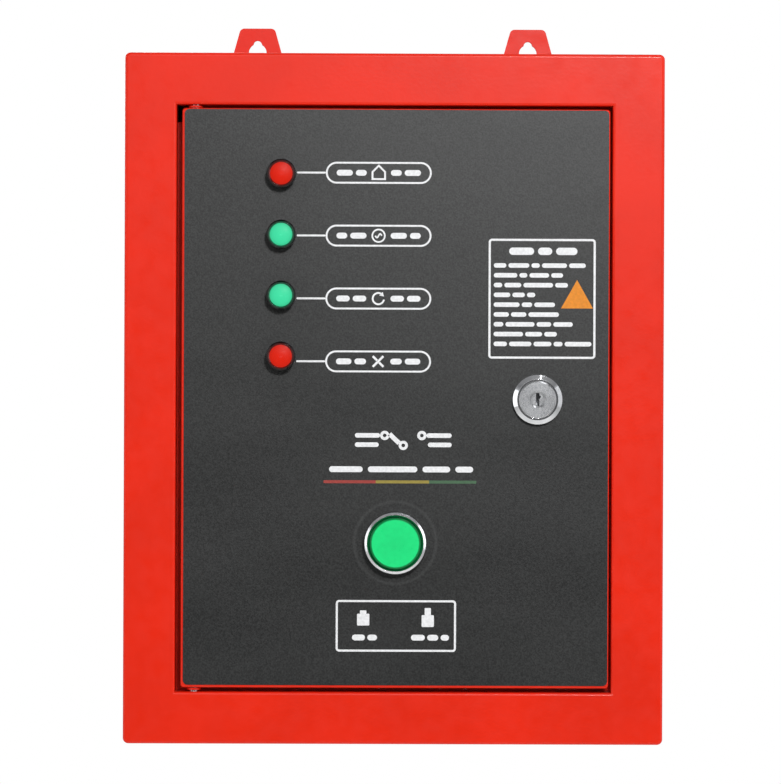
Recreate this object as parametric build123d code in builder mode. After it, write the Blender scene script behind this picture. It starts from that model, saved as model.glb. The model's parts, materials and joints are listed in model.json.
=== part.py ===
from build123d import *
import os

# Wall-hung transfer switch box: a folded steel enclosure with a flush hinged door.
# Millimetres. X runs to the right as seen from the front, the front faces -Y, Z is up.
# The origin is the centre of the back face, where the box meets the wall, and every
# depth below is the distance in front of that face.

os.makedirs("parts", exist_ok=True)

# Enclosure
box_w = 250.0
box_h = 320.0
box_d = 150.0
sheet = 1.2
corner_r = 2.5
bend_r = 1.5
opening_w = 202.0
opening_h = 272.0
lip_depth = 14.0
gutter_w = 170.0
gutter_h = 240.0
gutter_lip_top = 144.5
opening_bend_r = 1.2
frame_edge = 2.0
ledge_front = box_d - lip_depth
ledge_back = ledge_front - sheet
relief_w = 5.0
relief_h = 7.5

# Hanging ears
ear_x = 67.5
ear_sheet = 2.0
ear_base_w = 30.5
ear_top_w = 17.0
ear_rise = 24.0
ear_foot = 12.0
keyhole_r = 4.4
keyhole_rise = 12.0
keyhole_neck_w = 4.2
keyhole_neck_rise = 15.8

# Door, its overlay and its seal
door_w = 198.2
door_h = 268.2
door_x = 0.7
door_z = 0.2
door_flange = 8.5
door_back = box_d - sheet
overlay_w = 194.5
overlay_h = 264.5
overlay_x = 1.0
overlay_z = 0.6
overlay_sheet = 0.3
overlay_front = box_d + overlay_sheet
seal_w = 180.0
seal_h = 250.0
seal_band = 9.0
seal_back = 144.8

seal_corner_r = 3.0
panel_bend_r = 1.0
overlay_corner_r = 1.0
edge_tolerance = 0.01

# Hinge
hinge_x = -92.4
hinge_depth = 145.0
hinge_pin_r = 2.0
hinge_hole_r = 2.05
hinge_washer_r = 3.25
hinge_head_r = 3.5
hinge_head = 1.5
hinge_reach = 2.3
hinge_gap = 0.3
hinge_washer = 1.0
door_low = door_z - door_h / 2
door_high = door_z + door_h / 2

# Pilot lamps
lamp_x = -52.4
lamp_z = {"mains": 103.9, "generator": 75.8, "auto": 47.7, "fault": 19.6}
lamp_r = 6.75
lamp_lens_r = 5.2
lamp_barrel_r = 4.9
lamp_hole_r = 5.1
lamp_rise = 7.3
lamp_back = 126.0
lamp_bevel = 1.0
lamp_mouth = 0.3
lens_depth = 2.6
lens_dome = 0.4
lamp_tab_pitch = 5.0
lamp_tab_w = 0.8
lamp_tab_h = 2.4
lamp_tab_length = 6.0
lamp_nut_r = 7.5
lamp_nut = 3.0

# Push-button
button_x = 0.8
button_z = -66.6
button_r = 14.5
button_seat_r = 12.2
button_cap_r = 11.9
button_stem_r = 8.5
button_bore_r = 8.55
button_barrel_r = 10.9
button_hole_r = 11.15
button_ring = 1.0
button_travel = 4.0
button_bezel_top = overlay_front + 7.0
button_seat = overlay_front + 2.0
button_cap_back = button_seat + button_travel + 0.3
button_cap_top = overlay_front + 10.0
button_seal_r = 14.7
button_skirt = 1.3
button_shoulder = 0.55
button_shoulder_in = 0.35
button_crown_r = 13.1
button_crown = 0.6
button_cap_bevel = 1.0
button_nut_r = 15.5
button_nut_t = 4.0
barrel_back = 132.0
stem_back = 130.0
block_back = 108.0
block_well = 118.0
block_well_r = 8.85
block_w = 30.0
block_h = 42.0
block_corner_r = 2.0
block_port_dx = 16.0
block_port_dz = 30.0
block_port_r = 2.6
block_port_depth = 4.0
spring_wire_r = 0.5
spring_r = 6.0
spring_turns = 4

# Cam lock
lock_x = 66.4
lock_z = -0.1
lock_r = 11.45
lock_face_r = 8.6
lock_barrel_r = 9.5
lock_flat = 16.0
lock_bore_r = 5.55
lock_shaft_r = 5.5
lock_back = 134.6
cam_sheet = 2.0
cam_front = lock_back - 0.3
cam_back = cam_front - cam_sheet
cam_w = 14.0
cam_reach = 25.0
cam_square = 7.6
cam_corner_r = 3.0
lock_hole_gap = 0.1
lock_rise = 4.0
lock_skirt = 2.9
lock_seat = 1.2
lock_face_gap = 0.05
lock_crown_in = 0.5
lock_crown = 0.4
lock_dish_r = 3.9
lock_dish_floor_r = 3.0
lock_dish = 0.4
keyway_w = 1.6
keyway_h = 6.0
keyway_depth = 12.0
keyway_ward_h = 1.2
keyway_ward_x = 0.6
lock_nut_r = 12.5
lock_nut_t = 3.5
cam_washer_r = 6.0
cam_washer = 1.0
cam_bolt_r = 4.6
cam_bolt = 3.0

# Mounting plate, its studs and the rails on it
plate_w = 164.0
plate_h = 236.0
plate_back = 12.0
plate_front = 13.5
stud_dx = 150.0
stud_dz = 226.0
rail_h = 35.0
rail_crown = 25.0
rail_rise = 7.5
rail_sheet = 1.0
rail_front = plate_front + rail_rise
rail_length = 160.0
upper_rail_z = 60.0
lower_rail_z = -88.0
plate_corner_r = 3.0
stud_r = 2.5
stud_collar_r = 4.5
stud_length = 9.0
stud_hole_r = 2.75
plate_nut_r = 4.6
plate_nut = 4.0
rail_slot_pitch = 16.0
rail_slot_count = 9
rail_slot_w = 11.0
rail_slot_h = 5.0
rail_screw_dx = 128.0
rail_screw_head_r = 4.0
rail_screw_head = 2.2
rail_screw_r = 2.0
rail_cross_w = 5.0
rail_cross_h = 0.9
rail_cross_depth = 1.0
rail_seat_gap = 0.4

# Contactors and the interlock between them
contactor_w = 45.0
contactor_h = 76.0
contactor_back = 15.0
contactor_base = 62.0
contactor_step = 86.0
contactor_front = 100.0
contactor_x = {"mains": -57.5, "generator": -0.5}
pole_pitch = 10.5
pole_z = 25.0
pole_floor = 66.0
carrier_w = 11.0
carrier_h = 15.0
carrier_travel = 4.0
carrier_gap = 0.3
carrier_length = 8.5
carrier_bevel = 0.6
carrier_groove_w = 7.0
carrier_groove_h = 0.8
carrier_groove_pitch = 3.0
carrier_groove_depth = 0.7
contactor_step_h = 60.0
contactor_hump_h = 34.0
contactor_edge_r = 0.8
pole_count = 4
pole_pocket_w = 8.4
pole_pocket_h = 11.0
pole_hole_depth = 7.0
pole_screw_head_r = 3.2
pole_screw_head = 3.0
pole_screw_r = 2.0
pole_screw_length = 6.5
pole_cross_w = 4.6
pole_cross_h = 0.8
pole_cross_depth = 1.0
window_floor = 88.0
window_stop = 0.5
label_dx = 30.0
label_w = 10.0
label_h = 22.0
label_corner_r = 1.0
label_depth = 0.8
interlock_h = 50.0
interlock_body = 90.0
interlock_back = 30.0
interlock_nose_h = 26.0
interlock_front = 96.0
interlock_bevel = 1.0
interlock_port_dz = 14.0
interlock_port_r = 2.0
interlock_port_depth = 1.5

# Plug-in relay on its socket
relay_x = 38.0
relay_w = 21.5
relay_h = 28.0
relay_front = 80.0
relay_edge_r = 1.2
socket_w = 27.0
socket_h = 76.0
socket_front = 44.0
socket_wing_front = 57.0
socket_wing_h = 16.0
socket_wing_dz = 60.0
socket_screw_pitch = 8.5
socket_screw_r = 2.7
socket_hole_r = 2.9
socket_hole_floor = 40.0
socket_screw_head = 4.0

# Circuit breaker
breaker_x = 66.0
breaker_w = 18.0
breaker_h = 84.0
breaker_base = 60.0
breaker_front = 82.0
breaker_hump_h = 45.0
breaker_screw_dz = 64.0
breaker_screw_r = 3.4
breaker_screw_floor = 52.0
toggle_z = upper_rail_z
toggle_depth = 76.0
toggle_r = 7.0
toggle_w = 7.0
toggle_gap = 0.4
toggle_lean = 35.0
toggle_lever_mid = 9.0
toggle_lever = 11.0
toggle_lever_t = 3.2

# Terminal blocks
terminal_count = 12
terminal_w = 8.2
terminal_gap = 0.1
terminal_x = -20.0
terminal_h = 45.0
terminal_front = 62.0
terminal_shoulder = 50.0
terminal_crown_h = 24.0
terminal_screw_dz = 18.0
terminal_screw_floor = 54.0
terminal_hole_r = 2.8
terminal_screw_r = 2.6
terminal_screw_head = 4.0
terminal_entry_depth = 42.0
terminal_entry_r = 2.4
terminal_entry_length = 8.0
slot_w = 4.2
slot_h = 0.8
slot_depth = 1.0
stop_w = 8.0
stop_h = 38.0
stop_front = 46.0
stop_corner_r = 2.0
stop_gap = 0.2

# Control board
board_x = -22.0
board_z = -22.0
board_w = 112.0
board_h = 60.0
board_back = 24.0
board_sheet = 1.6
board_front = board_back + board_sheet
board_corner_r = 1.5
standoff_r = 3.2
standoff_inset = 4.0
transformer_dx = -34.0
transformer_dz = 8.0
transformer_w = 27.0
transformer_h = 22.0
transformer_rise = 22.0
board_relay_dx = 16.0
board_relay_dz = 10.0
board_relay_pitch = 19.0
board_relay_count = 4
board_relay_w = 15.5
board_relay_h = 19.0
board_part_r = 0.8
strip_dz = -22.0
strip_w = 90.0
strip_h = 9.0
strip_rise = 11.0
strip_pitch = 5.0
strip_count = 18
strip_hole_r = 1.8
strip_hole_depth = 3.0

# Battery charger
charger_x = 58.0
charger_z = -22.0
charger_w = 40.0
charger_h = 72.0
charger_front = 48.0
charger_corner_r = 2.0
charger_edge_r = 1.0
vent_pitch = 6.0
vent_count = 7
vent_w = 26.0
vent_h = 2.4
vent_depth = 1.5

# Earth stud
earth_x = -104.0
earth_z = -128.0
earth_stud_r = 3.0
earth_stud_length = 22.0
earth_nut_r = 5.8
earth_nut = 5.0
earth_nut_depths = (sheet, 9.0, 16.0)

# Cable entries and wires
grommet_x = (-50.0, 0.0, 50.0)
grommet_depth = 50.0
grommet_hole_r = 11.0
grommet_flange_r = 14.0
cable_hole_r = 7.0
grommet_top = 4.2
grommet_nose = 8.4
grommet_nose_r = 13.0
grommet_nose_straight = 3.4
grommet_tip_r = 9.5
gland_w = 156.0
gland_d = 68.0
gland_window_w = 136.0
gland_window_d = 48.0
gland_floor = -box_h / 2 + sheet
gland_screw_dx = 146.0
gland_screw_dy = 58.0
gland_screw_r = 2.0
gland_screw_length = 4.0
gland_head_r = 3.5
gland_head = 2.0
gland_cross_w = 4.4
gland_cross_h = 0.8
wire_r = 1.8
wire_bend_r = 4.5


def facing(depth, x=0.0, z=0.0):
    """A plane that faces the front, at a depth, with its origin over (x, z)."""
    return Plane(origin=(x, -depth, z), x_dir=(1, 0, 0), z_dir=(0, -1, 0))


def lathe(x, z):
    """A plane through a depthwise axis at (x, z): across is radius, up is depth."""
    return Plane(origin=(x, 0, z), x_dir=(1, 0, 0), z_dir=(0, 0, -1))


def section(x):
    """An upright plane at x: across is depth, up is Z."""
    return Plane(origin=(x, 0, 0), x_dir=(0, -1, 0), z_dir=(-1, 0, 0))


def depth_axis(x, z):
    """The depthwise axis through (x, z)."""
    return Axis((x, 0, z), (0, -1, 0))


# ---------------------------------------------------------------- enclosure

# Folded box: the back and four walls, with a window for the gland plate below.
with BuildPart() as enclosure_shell:
    with BuildSketch(facing(0)):
        RectangleRounded(box_w, box_h, corner_r)
    extrude(amount=box_d - frame_edge)
    with BuildSketch(facing(sheet)):
        RectangleRounded(box_w - 2 * sheet, box_h - 2 * sheet, corner_r - sheet)
    extrude(amount=box_d, mode=Mode.SUBTRACT)
    with BuildSketch(Plane.XY.offset(-box_h / 2)):
        with Locations((0, -grommet_depth)):
            Rectangle(gland_window_w, gland_window_d)
            with GridLocations(gland_screw_dx, gland_screw_dy, 2, 2):
                Circle(gland_screw_r)
    extrude(amount=sheet, mode=Mode.SUBTRACT)
enclosure_shell.part.label = "enclosure_shell"
export_step(enclosure_shell.part, "parts/enclosure_shell.step")

# Front frame, welded to the walls: its face turns back along the door opening and in
# again to a gutter with an upturned lip, against which the door's seal presses.
with BuildPart() as front_frame:
    with BuildSketch(facing(box_d - frame_edge)):
        RectangleRounded(box_w, box_h, corner_r)
    extrude(amount=frame_edge)
    front_rim = front_frame.faces().sort_by(Axis.Y)[0].edges()
    fillet(front_rim, bend_r)
    with BuildSketch(facing(box_d - frame_edge)):
        RectangleRounded(box_w - 2 * sheet, box_h - 2 * sheet, corner_r - sheet)
    extrude(amount=frame_edge - sheet, mode=Mode.SUBTRACT)
    with BuildSketch(facing(ledge_back)):
        Rectangle(opening_w + 2 * sheet, opening_h + 2 * sheet)
    extrude(amount=lip_depth)
    with BuildSketch(facing(ledge_front)):
        Rectangle(opening_w, opening_h)
    extrude(amount=lip_depth, mode=Mode.SUBTRACT)
    with BuildSketch(facing(ledge_front)):
        Rectangle(gutter_w + 2 * sheet, gutter_h + 2 * sheet)
    extrude(amount=gutter_lip_top - ledge_front)
    with BuildSketch(facing(ledge_back)):
        Rectangle(gutter_w, gutter_h)
    extrude(amount=box_d, mode=Mode.SUBTRACT)
    reach_x = opening_w / 2 + edge_tolerance
    reach_z = opening_h / 2 + edge_tolerance
    opening_rim = (
        front_frame.edges()
        .filter_by_position(Axis.Y, -box_d - edge_tolerance, -box_d + edge_tolerance)
        .filter_by_position(Axis.X, -reach_x, reach_x)
        .filter_by_position(Axis.Z, -reach_z, reach_z)
    )
    fillet(opening_rim, opening_bend_r)
    with BuildSketch(facing(ledge_back)):
        with Locations((-opening_w / 2 + relief_w / 2, opening_h / 2 - relief_h / 2)):
            Rectangle(relief_w, relief_h)
    extrude(amount=sheet, mode=Mode.SUBTRACT)
    with BuildSketch(Plane.XY):
        with Locations((hinge_x, -hinge_depth)):
            Circle(hinge_pin_r)
    extrude(amount=opening_h / 2 + 2 * sheet, both=True, mode=Mode.SUBTRACT)
front_frame.part.label = "front_frame"
export_step(front_frame.part, "parts/front_frame.step")

# Hanging ears: an upright tab with a keyhole, and a foot welded to the box's top.
for side, x in (("left", -ear_x), ("right", ear_x)):
    with BuildPart() as mounting_ear:
        with BuildSketch(facing(0, x, box_h / 2)) as tab:
            with BuildLine():
                Polyline(
                    (-ear_base_w / 2, 0),
                    (ear_base_w / 2, 0),
                    (ear_top_w / 2, ear_rise),
                    (-ear_top_w / 2, ear_rise),
                    close=True,
                )
            make_face()
            fillet(tab.vertices().group_by(Axis.Y)[-1], corner_r)
            with Locations((0, keyhole_rise)):
                Circle(keyhole_r, mode=Mode.SUBTRACT)
            with Locations((0, (keyhole_rise + keyhole_neck_rise) / 2)):
                Rectangle(keyhole_neck_w, keyhole_neck_rise - keyhole_rise, mode=Mode.SUBTRACT)
            with Locations((0, keyhole_neck_rise)):
                Circle(keyhole_neck_w / 2, mode=Mode.SUBTRACT)
        extrude(amount=ear_sheet)
        with BuildSketch(facing(0, x, box_h / 2 + ear_sheet / 2)):
            Rectangle(ear_base_w - 2 * ear_sheet, ear_sheet)
        extrude(amount=ear_foot)
    mounting_ear.part.label = f"{side}_mounting_ear"
    export_step(mounting_ear.part, f"parts/{side}_mounting_ear.step")

# Gland plate inside the bottom wall, screwed on from below.
with BuildPart() as gland_plate:
    with BuildSketch(Plane.XY.offset(gland_floor)):
        with Locations((0, -grommet_depth)):
            Rectangle(gland_w, gland_d)
            with GridLocations(gland_screw_dx, gland_screw_dy, 2, 2):
                Circle(gland_screw_r, mode=Mode.SUBTRACT)
        for x in grommet_x:
            with Locations((x, -grommet_depth)):
                Circle(grommet_hole_r, mode=Mode.SUBTRACT)
    extrude(amount=sheet)
gland_plate.part.label = "gland_plate"
export_step(gland_plate.part, "parts/gland_plate.step")

with BuildPart() as gland_screws:
    with BuildSketch(Plane.XY.offset(-box_h / 2)):
        with Locations((0, -grommet_depth)):
            with GridLocations(gland_screw_dx, gland_screw_dy, 2, 2):
                Circle(gland_screw_r)
    extrude(amount=gland_screw_length)
    with BuildSketch(Plane.XY.offset(-box_h / 2)):
        with Locations((0, -grommet_depth)):
            with GridLocations(gland_screw_dx, gland_screw_dy, 2, 2):
                Circle(gland_head_r)
    extrude(amount=-gland_head)
    with BuildSketch(Plane.XY.offset(-box_h / 2 - gland_head)):
        with Locations((0, -grommet_depth)):
            with GridLocations(gland_screw_dx, gland_screw_dy, 2, 2):
                Rectangle(gland_cross_w, gland_cross_h)
                Rectangle(gland_cross_h, gland_cross_w)
    extrude(amount=gland_head / 2, mode=Mode.SUBTRACT)
gland_screws.part.label = "gland_screws"
export_step(gland_screws.part, "parts/gland_screws.step")

# Rubber grommets in the gland plate: a flange inside, a groove on the sheet and a
# stepped nose below, open for the cable.
with BuildPart() as cable_grommets:
    for x in grommet_x:
        with BuildSketch(facing(grommet_depth, x, gland_floor)):
            with BuildLine():
                Polyline(
                    (cable_hole_r, grommet_top),
                    (grommet_flange_r, grommet_top),
                    (grommet_flange_r, sheet),
                    (grommet_hole_r, sheet),
                    (grommet_hole_r, 0),
                    (grommet_nose_r, 0),
                    (grommet_nose_r, -grommet_nose_straight),
                    (grommet_tip_r, -grommet_nose),
                    (cable_hole_r, -grommet_nose),
                    close=True,
                )
            make_face()
        revolve(axis=Axis((x, -grommet_depth, 0), (0, 0, 1)))
cable_grommets.part.label = "cable_grommets"
export_step(cable_grommets.part, "parts/cable_grommets.step")

# Hinge pins: riveted through the opening's return lip and reaching through the door's
# flange, which turns on them, with a washer between.
with BuildPart() as hinge_pins:
    for sign, door_edge in ((1, door_low), (-1, door_high)):
        lip_outside = -sign * (opening_h / 2 + sheet)
        pin_tip = door_edge + sign * (sheet + hinge_reach)
        with BuildSketch(Plane.XY.offset(lip_outside)):
            with Locations((hinge_x, -hinge_depth)):
                Circle(hinge_pin_r)
        extrude(amount=pin_tip - lip_outside)
        with BuildSketch(Plane.XY.offset(lip_outside)):
            with Locations((hinge_x, -hinge_depth)):
                Circle(hinge_head_r)
        extrude(amount=-sign * hinge_head)
hinge_pins.part.label = "hinge_pins"
export_step(hinge_pins.part, "parts/hinge_pins.step")

with BuildPart() as hinge_washers:
    for sign, door_edge in ((1, door_low), (-1, door_high)):
        with BuildSketch(Plane.XY.offset(door_edge - sign * hinge_gap)):
            with Locations((hinge_x, -hinge_depth)):
                Circle(hinge_washer_r)
                Circle(hinge_pin_r, mode=Mode.SUBTRACT)
        extrude(amount=-sign * hinge_washer)
hinge_washers.part.label = "hinge_washers"
export_step(hinge_washers.part, "parts/hinge_washers.step")

# Earth stud on the left of the back wall, with its nuts.
with BuildPart() as earth_stud:
    with BuildSketch(facing(sheet, earth_x, earth_z)):
        Circle(earth_stud_r)
    extrude(amount=earth_stud_length)
earth_stud.part.label = "earth_stud"
export_step(earth_stud.part, "parts/earth_stud.step")

with BuildPart() as earth_nuts:
    for depth in earth_nut_depths:
        with BuildSketch(facing(depth, earth_x, earth_z)):
            RegularPolygon(earth_nut_r, 6)
            Circle(earth_stud_r, mode=Mode.SUBTRACT)
        extrude(amount=earth_nut)
earth_nuts.part.label = "earth_nuts"
export_step(earth_nuts.part, "parts/earth_nuts.step")

# ---------------------------------------------------------------- plate and rails

with BuildPart() as plate_studs:
    with BuildSketch(facing(sheet)):
        with GridLocations(stud_dx, stud_dz, 2, 2):
            Circle(stud_collar_r)
    extrude(amount=plate_back - sheet)
    with BuildSketch(facing(plate_back)):
        with GridLocations(stud_dx, stud_dz, 2, 2):
            Circle(stud_r)
    extrude(amount=stud_length)
plate_studs.part.label = "plate_studs"
export_step(plate_studs.part, "parts/plate_studs.step")

with BuildPart() as mounting_plate:
    with BuildSketch(facing(plate_back)):
        RectangleRounded(plate_w, plate_h, plate_corner_r)
        with GridLocations(stud_dx, stud_dz, 2, 2):
            Circle(stud_hole_r, mode=Mode.SUBTRACT)
    extrude(amount=plate_front - plate_back)
mounting_plate.part.label = "mounting_plate"
export_step(mounting_plate.part, "parts/mounting_plate.step")

with BuildPart() as plate_nuts:
    with BuildSketch(facing(plate_front)):
        with GridLocations(stud_dx, stud_dz, 2, 2):
            RegularPolygon(plate_nut_r, 6)
            Circle(stud_r, mode=Mode.SUBTRACT)
    extrude(amount=plate_nut)
plate_nuts.part.label = "plate_nuts"
export_step(plate_nuts.part, "parts/plate_nuts.step")

# Top-hat mounting rails with a row of slots, screwed to the plate.
with BuildPart() as mounting_rails:
    for z in (upper_rail_z, lower_rail_z):
        with BuildSketch(section(0)):
            with Locations((plate_front + rail_sheet / 2, z)):
                Rectangle(rail_sheet, rail_crown)
            with Locations((plate_front + rail_rise / 2, z)):
                with GridLocations(0, rail_crown - rail_sheet, 1, 2):
                    Rectangle(rail_rise, rail_sheet)
            with Locations((rail_front - rail_sheet / 2, z)):
                with GridLocations(0, (rail_h + rail_crown) / 2 - rail_sheet, 1, 2):
                    Rectangle(rail_sheet, (rail_h - rail_crown) / 2 + rail_sheet)
        extrude(amount=rail_length / 2, both=True)
        with BuildSketch(facing(plate_front, 0, z)):
            with GridLocations(rail_slot_pitch, 0, rail_slot_count, 1):
                SlotOverall(rail_slot_w, rail_slot_h)
        extrude(amount=rail_sheet, mode=Mode.SUBTRACT)
mounting_rails.part.label = "mounting_rails"
export_step(mounting_rails.part, "parts/mounting_rails.step")

with BuildPart() as rail_screws:
    for z in (upper_rail_z, lower_rail_z):
        with BuildSketch(facing(plate_front + rail_sheet, 0, z)):
            with GridLocations(rail_screw_dx, 0, 2, 1):
                Circle(rail_screw_head_r)
        extrude(amount=rail_screw_head)
        with BuildSketch(facing(plate_front, 0, z)):
            with GridLocations(rail_screw_dx, 0, 2, 1):
                Circle(rail_screw_r)
        extrude(amount=rail_sheet)
        cross_floor = plate_front + rail_sheet + rail_screw_head - rail_cross_depth
        with BuildSketch(facing(cross_floor, 0, z)):
            with GridLocations(rail_screw_dx, 0, 2, 1):
                Rectangle(rail_cross_w, rail_cross_h)
                Rectangle(rail_cross_h, rail_cross_w)
        extrude(amount=rail_cross_depth, mode=Mode.SUBTRACT)
rail_screws.part.label = "rail_screws"
export_step(rail_screws.part, "parts/rail_screws.step")

# ---------------------------------------------------------------- contactors

window_w = carrier_w + 2 * carrier_gap
window_h = carrier_h + 2 * carrier_gap
seat_h = rail_h + rail_seat_gap
seat_mid = (contactor_back + rail_front) / 2
seat_depth = rail_front - contactor_back
for name, x in contactor_x.items():
    z = upper_rail_z
    # Moulded body: full height at the rail, a step back for the terminals and a hump
    # with the window of the contact carrier.
    with BuildPart() as contactor_body:
        with BuildSketch(section(x)):
            with Locations(((contactor_back + contactor_base) / 2, z)):
                Rectangle(contactor_base - contactor_back, contactor_h)
            with Locations(((contactor_back + contactor_step) / 2, z)):
                Rectangle(contactor_step - contactor_back, contactor_step_h)
            with Locations(((contactor_back + contactor_front) / 2, z)):
                Rectangle(contactor_front - contactor_back, contactor_hump_h)
            with Locations((seat_mid, z)):
                Rectangle(seat_depth, seat_h, mode=Mode.SUBTRACT)
        extrude(amount=contactor_w / 2, both=True)
        upright_edges = contactor_body.edges().filter_by(Axis.Y)
        hump_edges = upright_edges.filter_by(lambda e: e.center().Y < -contactor_base)
        fillet(hump_edges, contactor_edge_r)
        with BuildSketch(facing(pole_floor, x, z)):
            with GridLocations(pole_pitch, 2 * pole_z, pole_count, 2):
                Rectangle(pole_pocket_w, pole_pocket_h)
        extrude(amount=contactor_front, mode=Mode.SUBTRACT)
        with BuildSketch(facing(pole_floor - pole_hole_depth, x, z)):
            with GridLocations(pole_pitch, 2 * pole_z, pole_count, 2):
                Circle(pole_screw_r)
        extrude(amount=pole_hole_depth, mode=Mode.SUBTRACT)
        with BuildSketch(facing(window_floor, x, z)):
            Rectangle(window_w, window_h)
        extrude(amount=contactor_front, mode=Mode.SUBTRACT)
        with BuildSketch(facing(contactor_front - label_depth, x, z)):
            with GridLocations(label_dx, 0, 2, 1):
                RectangleRounded(label_w, label_h, label_corner_r)
        extrude(amount=label_depth, mode=Mode.SUBTRACT)
    contactor_body.part.label = f"{name}_contactor_body"
    export_step(contactor_body.part, f"parts/{name}_contactor_body.step")

    # Contact carrier: the block in the window that sinks when the coil pulls in.
    carrier_back = window_floor + carrier_travel + window_stop
    carrier_front = carrier_back + carrier_length
    with BuildPart() as contact_carrier:
        with BuildSketch(facing(carrier_back, x, z)):
            Rectangle(carrier_w, carrier_h)
        extrude(amount=carrier_length)
        chamfer(contact_carrier.faces().sort_by(Axis.Y)[0].edges(), carrier_bevel)
        with BuildSketch(facing(carrier_front - carrier_groove_depth, x, z)):
            with GridLocations(0, carrier_groove_pitch, 1, 3):
                Rectangle(carrier_groove_w, carrier_groove_h)
        extrude(amount=carrier_groove_depth, mode=Mode.SUBTRACT)
    contact_carrier.part.label = f"{name}_contact_carrier"
    export_step(contact_carrier.part, f"parts/{name}_contact_carrier.step")

# Mechanical interlock between the contactors, which keeps both from closing at once.
interlock_x = (contactor_x["mains"] + contactor_x["generator"]) / 2
interlock_w = contactor_x["generator"] - contactor_x["mains"] - contactor_w
with BuildPart() as interlock_housing:
    with BuildSketch(section(interlock_x)):
        with Locations(((interlock_back + interlock_body) / 2, upper_rail_z)):
            Rectangle(interlock_body - interlock_back, interlock_h)
        with Locations(((interlock_back + interlock_front) / 2, upper_rail_z)):
            Rectangle(interlock_front - interlock_back, interlock_nose_h)
    extrude(amount=interlock_w / 2, both=True)
    front_ring = interlock_housing.faces().sort_by(Axis.Y)[0].edges()
    chamfer(front_ring, interlock_bevel)
    port_floor = interlock_front - interlock_port_depth
    with BuildSketch(facing(port_floor, interlock_x, upper_rail_z)):
        with GridLocations(0, interlock_port_dz, 1, 2):
            Circle(interlock_port_r)
    extrude(amount=interlock_port_depth, mode=Mode.SUBTRACT)
interlock_housing.part.label = "interlock_housing"
export_step(interlock_housing.part, "parts/interlock_housing.step")

# ---------------------------------------------------------------- relay and breaker

with BuildPart() as relay_socket:
    with BuildSketch(section(relay_x)):
        with Locations(((contactor_back + socket_front) / 2, upper_rail_z)):
            Rectangle(socket_front - contactor_back, socket_h)
        with Locations(((contactor_back + socket_wing_front) / 2, upper_rail_z)):
            with GridLocations(0, socket_wing_dz, 1, 2):
                Rectangle(socket_wing_front - contactor_back, socket_wing_h)
        with Locations((seat_mid, upper_rail_z)):
            Rectangle(seat_depth, seat_h, mode=Mode.SUBTRACT)
    extrude(amount=socket_w / 2, both=True)
    with BuildSketch(facing(socket_hole_floor, relay_x, upper_rail_z)):
        with GridLocations(socket_screw_pitch, socket_wing_dz, 3, 2):
            Circle(socket_hole_r)
    extrude(amount=socket_wing_front - socket_hole_floor, mode=Mode.SUBTRACT)
relay_socket.part.label = "relay_socket"
export_step(relay_socket.part, "parts/relay_socket.step")

with BuildPart() as control_relay:
    with BuildSketch(facing(socket_front, relay_x, upper_rail_z)):
        RectangleRounded(relay_w, relay_h, relay_edge_r)
    extrude(amount=relay_front - socket_front)
    fillet(control_relay.faces().sort_by(Axis.Y)[0].edges(), relay_edge_r)
control_relay.part.label = "control_relay"
export_step(control_relay.part, "parts/control_relay.step")

with BuildPart() as breaker_body:
    with BuildSketch(section(breaker_x)):
        with Locations(((contactor_back + breaker_base) / 2, upper_rail_z)):
            Rectangle(breaker_base - contactor_back, breaker_h)
        with Locations(((contactor_back + breaker_front) / 2, upper_rail_z)):
            Rectangle(breaker_front - contactor_back, breaker_hump_h)
        with Locations((seat_mid, upper_rail_z)):
            Rectangle(seat_depth, seat_h, mode=Mode.SUBTRACT)
    extrude(amount=breaker_w / 2, both=True)
    with BuildSketch(section(breaker_x)):
        with Locations((toggle_depth, toggle_z)):
            Circle(toggle_r + toggle_gap)
        with Locations(((toggle_depth + breaker_front) / 2, toggle_z)):
            Rectangle(breaker_front - toggle_depth, 2 * (toggle_r + toggle_gap))
    extrude(amount=toggle_w / 2 + toggle_gap, both=True, mode=Mode.SUBTRACT)
    with BuildSketch(facing(breaker_screw_floor, breaker_x, upper_rail_z)):
        with GridLocations(0, breaker_screw_dz, 1, 2):
            Circle(breaker_screw_r)
    extrude(amount=breaker_base - breaker_screw_floor, mode=Mode.SUBTRACT)
breaker_body.part.label = "breaker_body"
export_step(breaker_body.part, "parts/breaker_body.step")

with BuildPart() as breaker_toggle:
    with BuildSketch(section(breaker_x)):
        with Locations((toggle_depth, toggle_z)):
            Circle(toggle_r)
        with Locations((toggle_depth, toggle_z)):
            with PolarLocations(toggle_lever_mid, 1, start_angle=toggle_lean):
                Rectangle(toggle_lever, toggle_lever_t)
    extrude(amount=toggle_w / 2, both=True)
breaker_toggle.part.label = "breaker_toggle"
export_step(breaker_toggle.part, "parts/breaker_toggle.step")

# ---------------------------------------------------------------- terminal blocks

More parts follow.
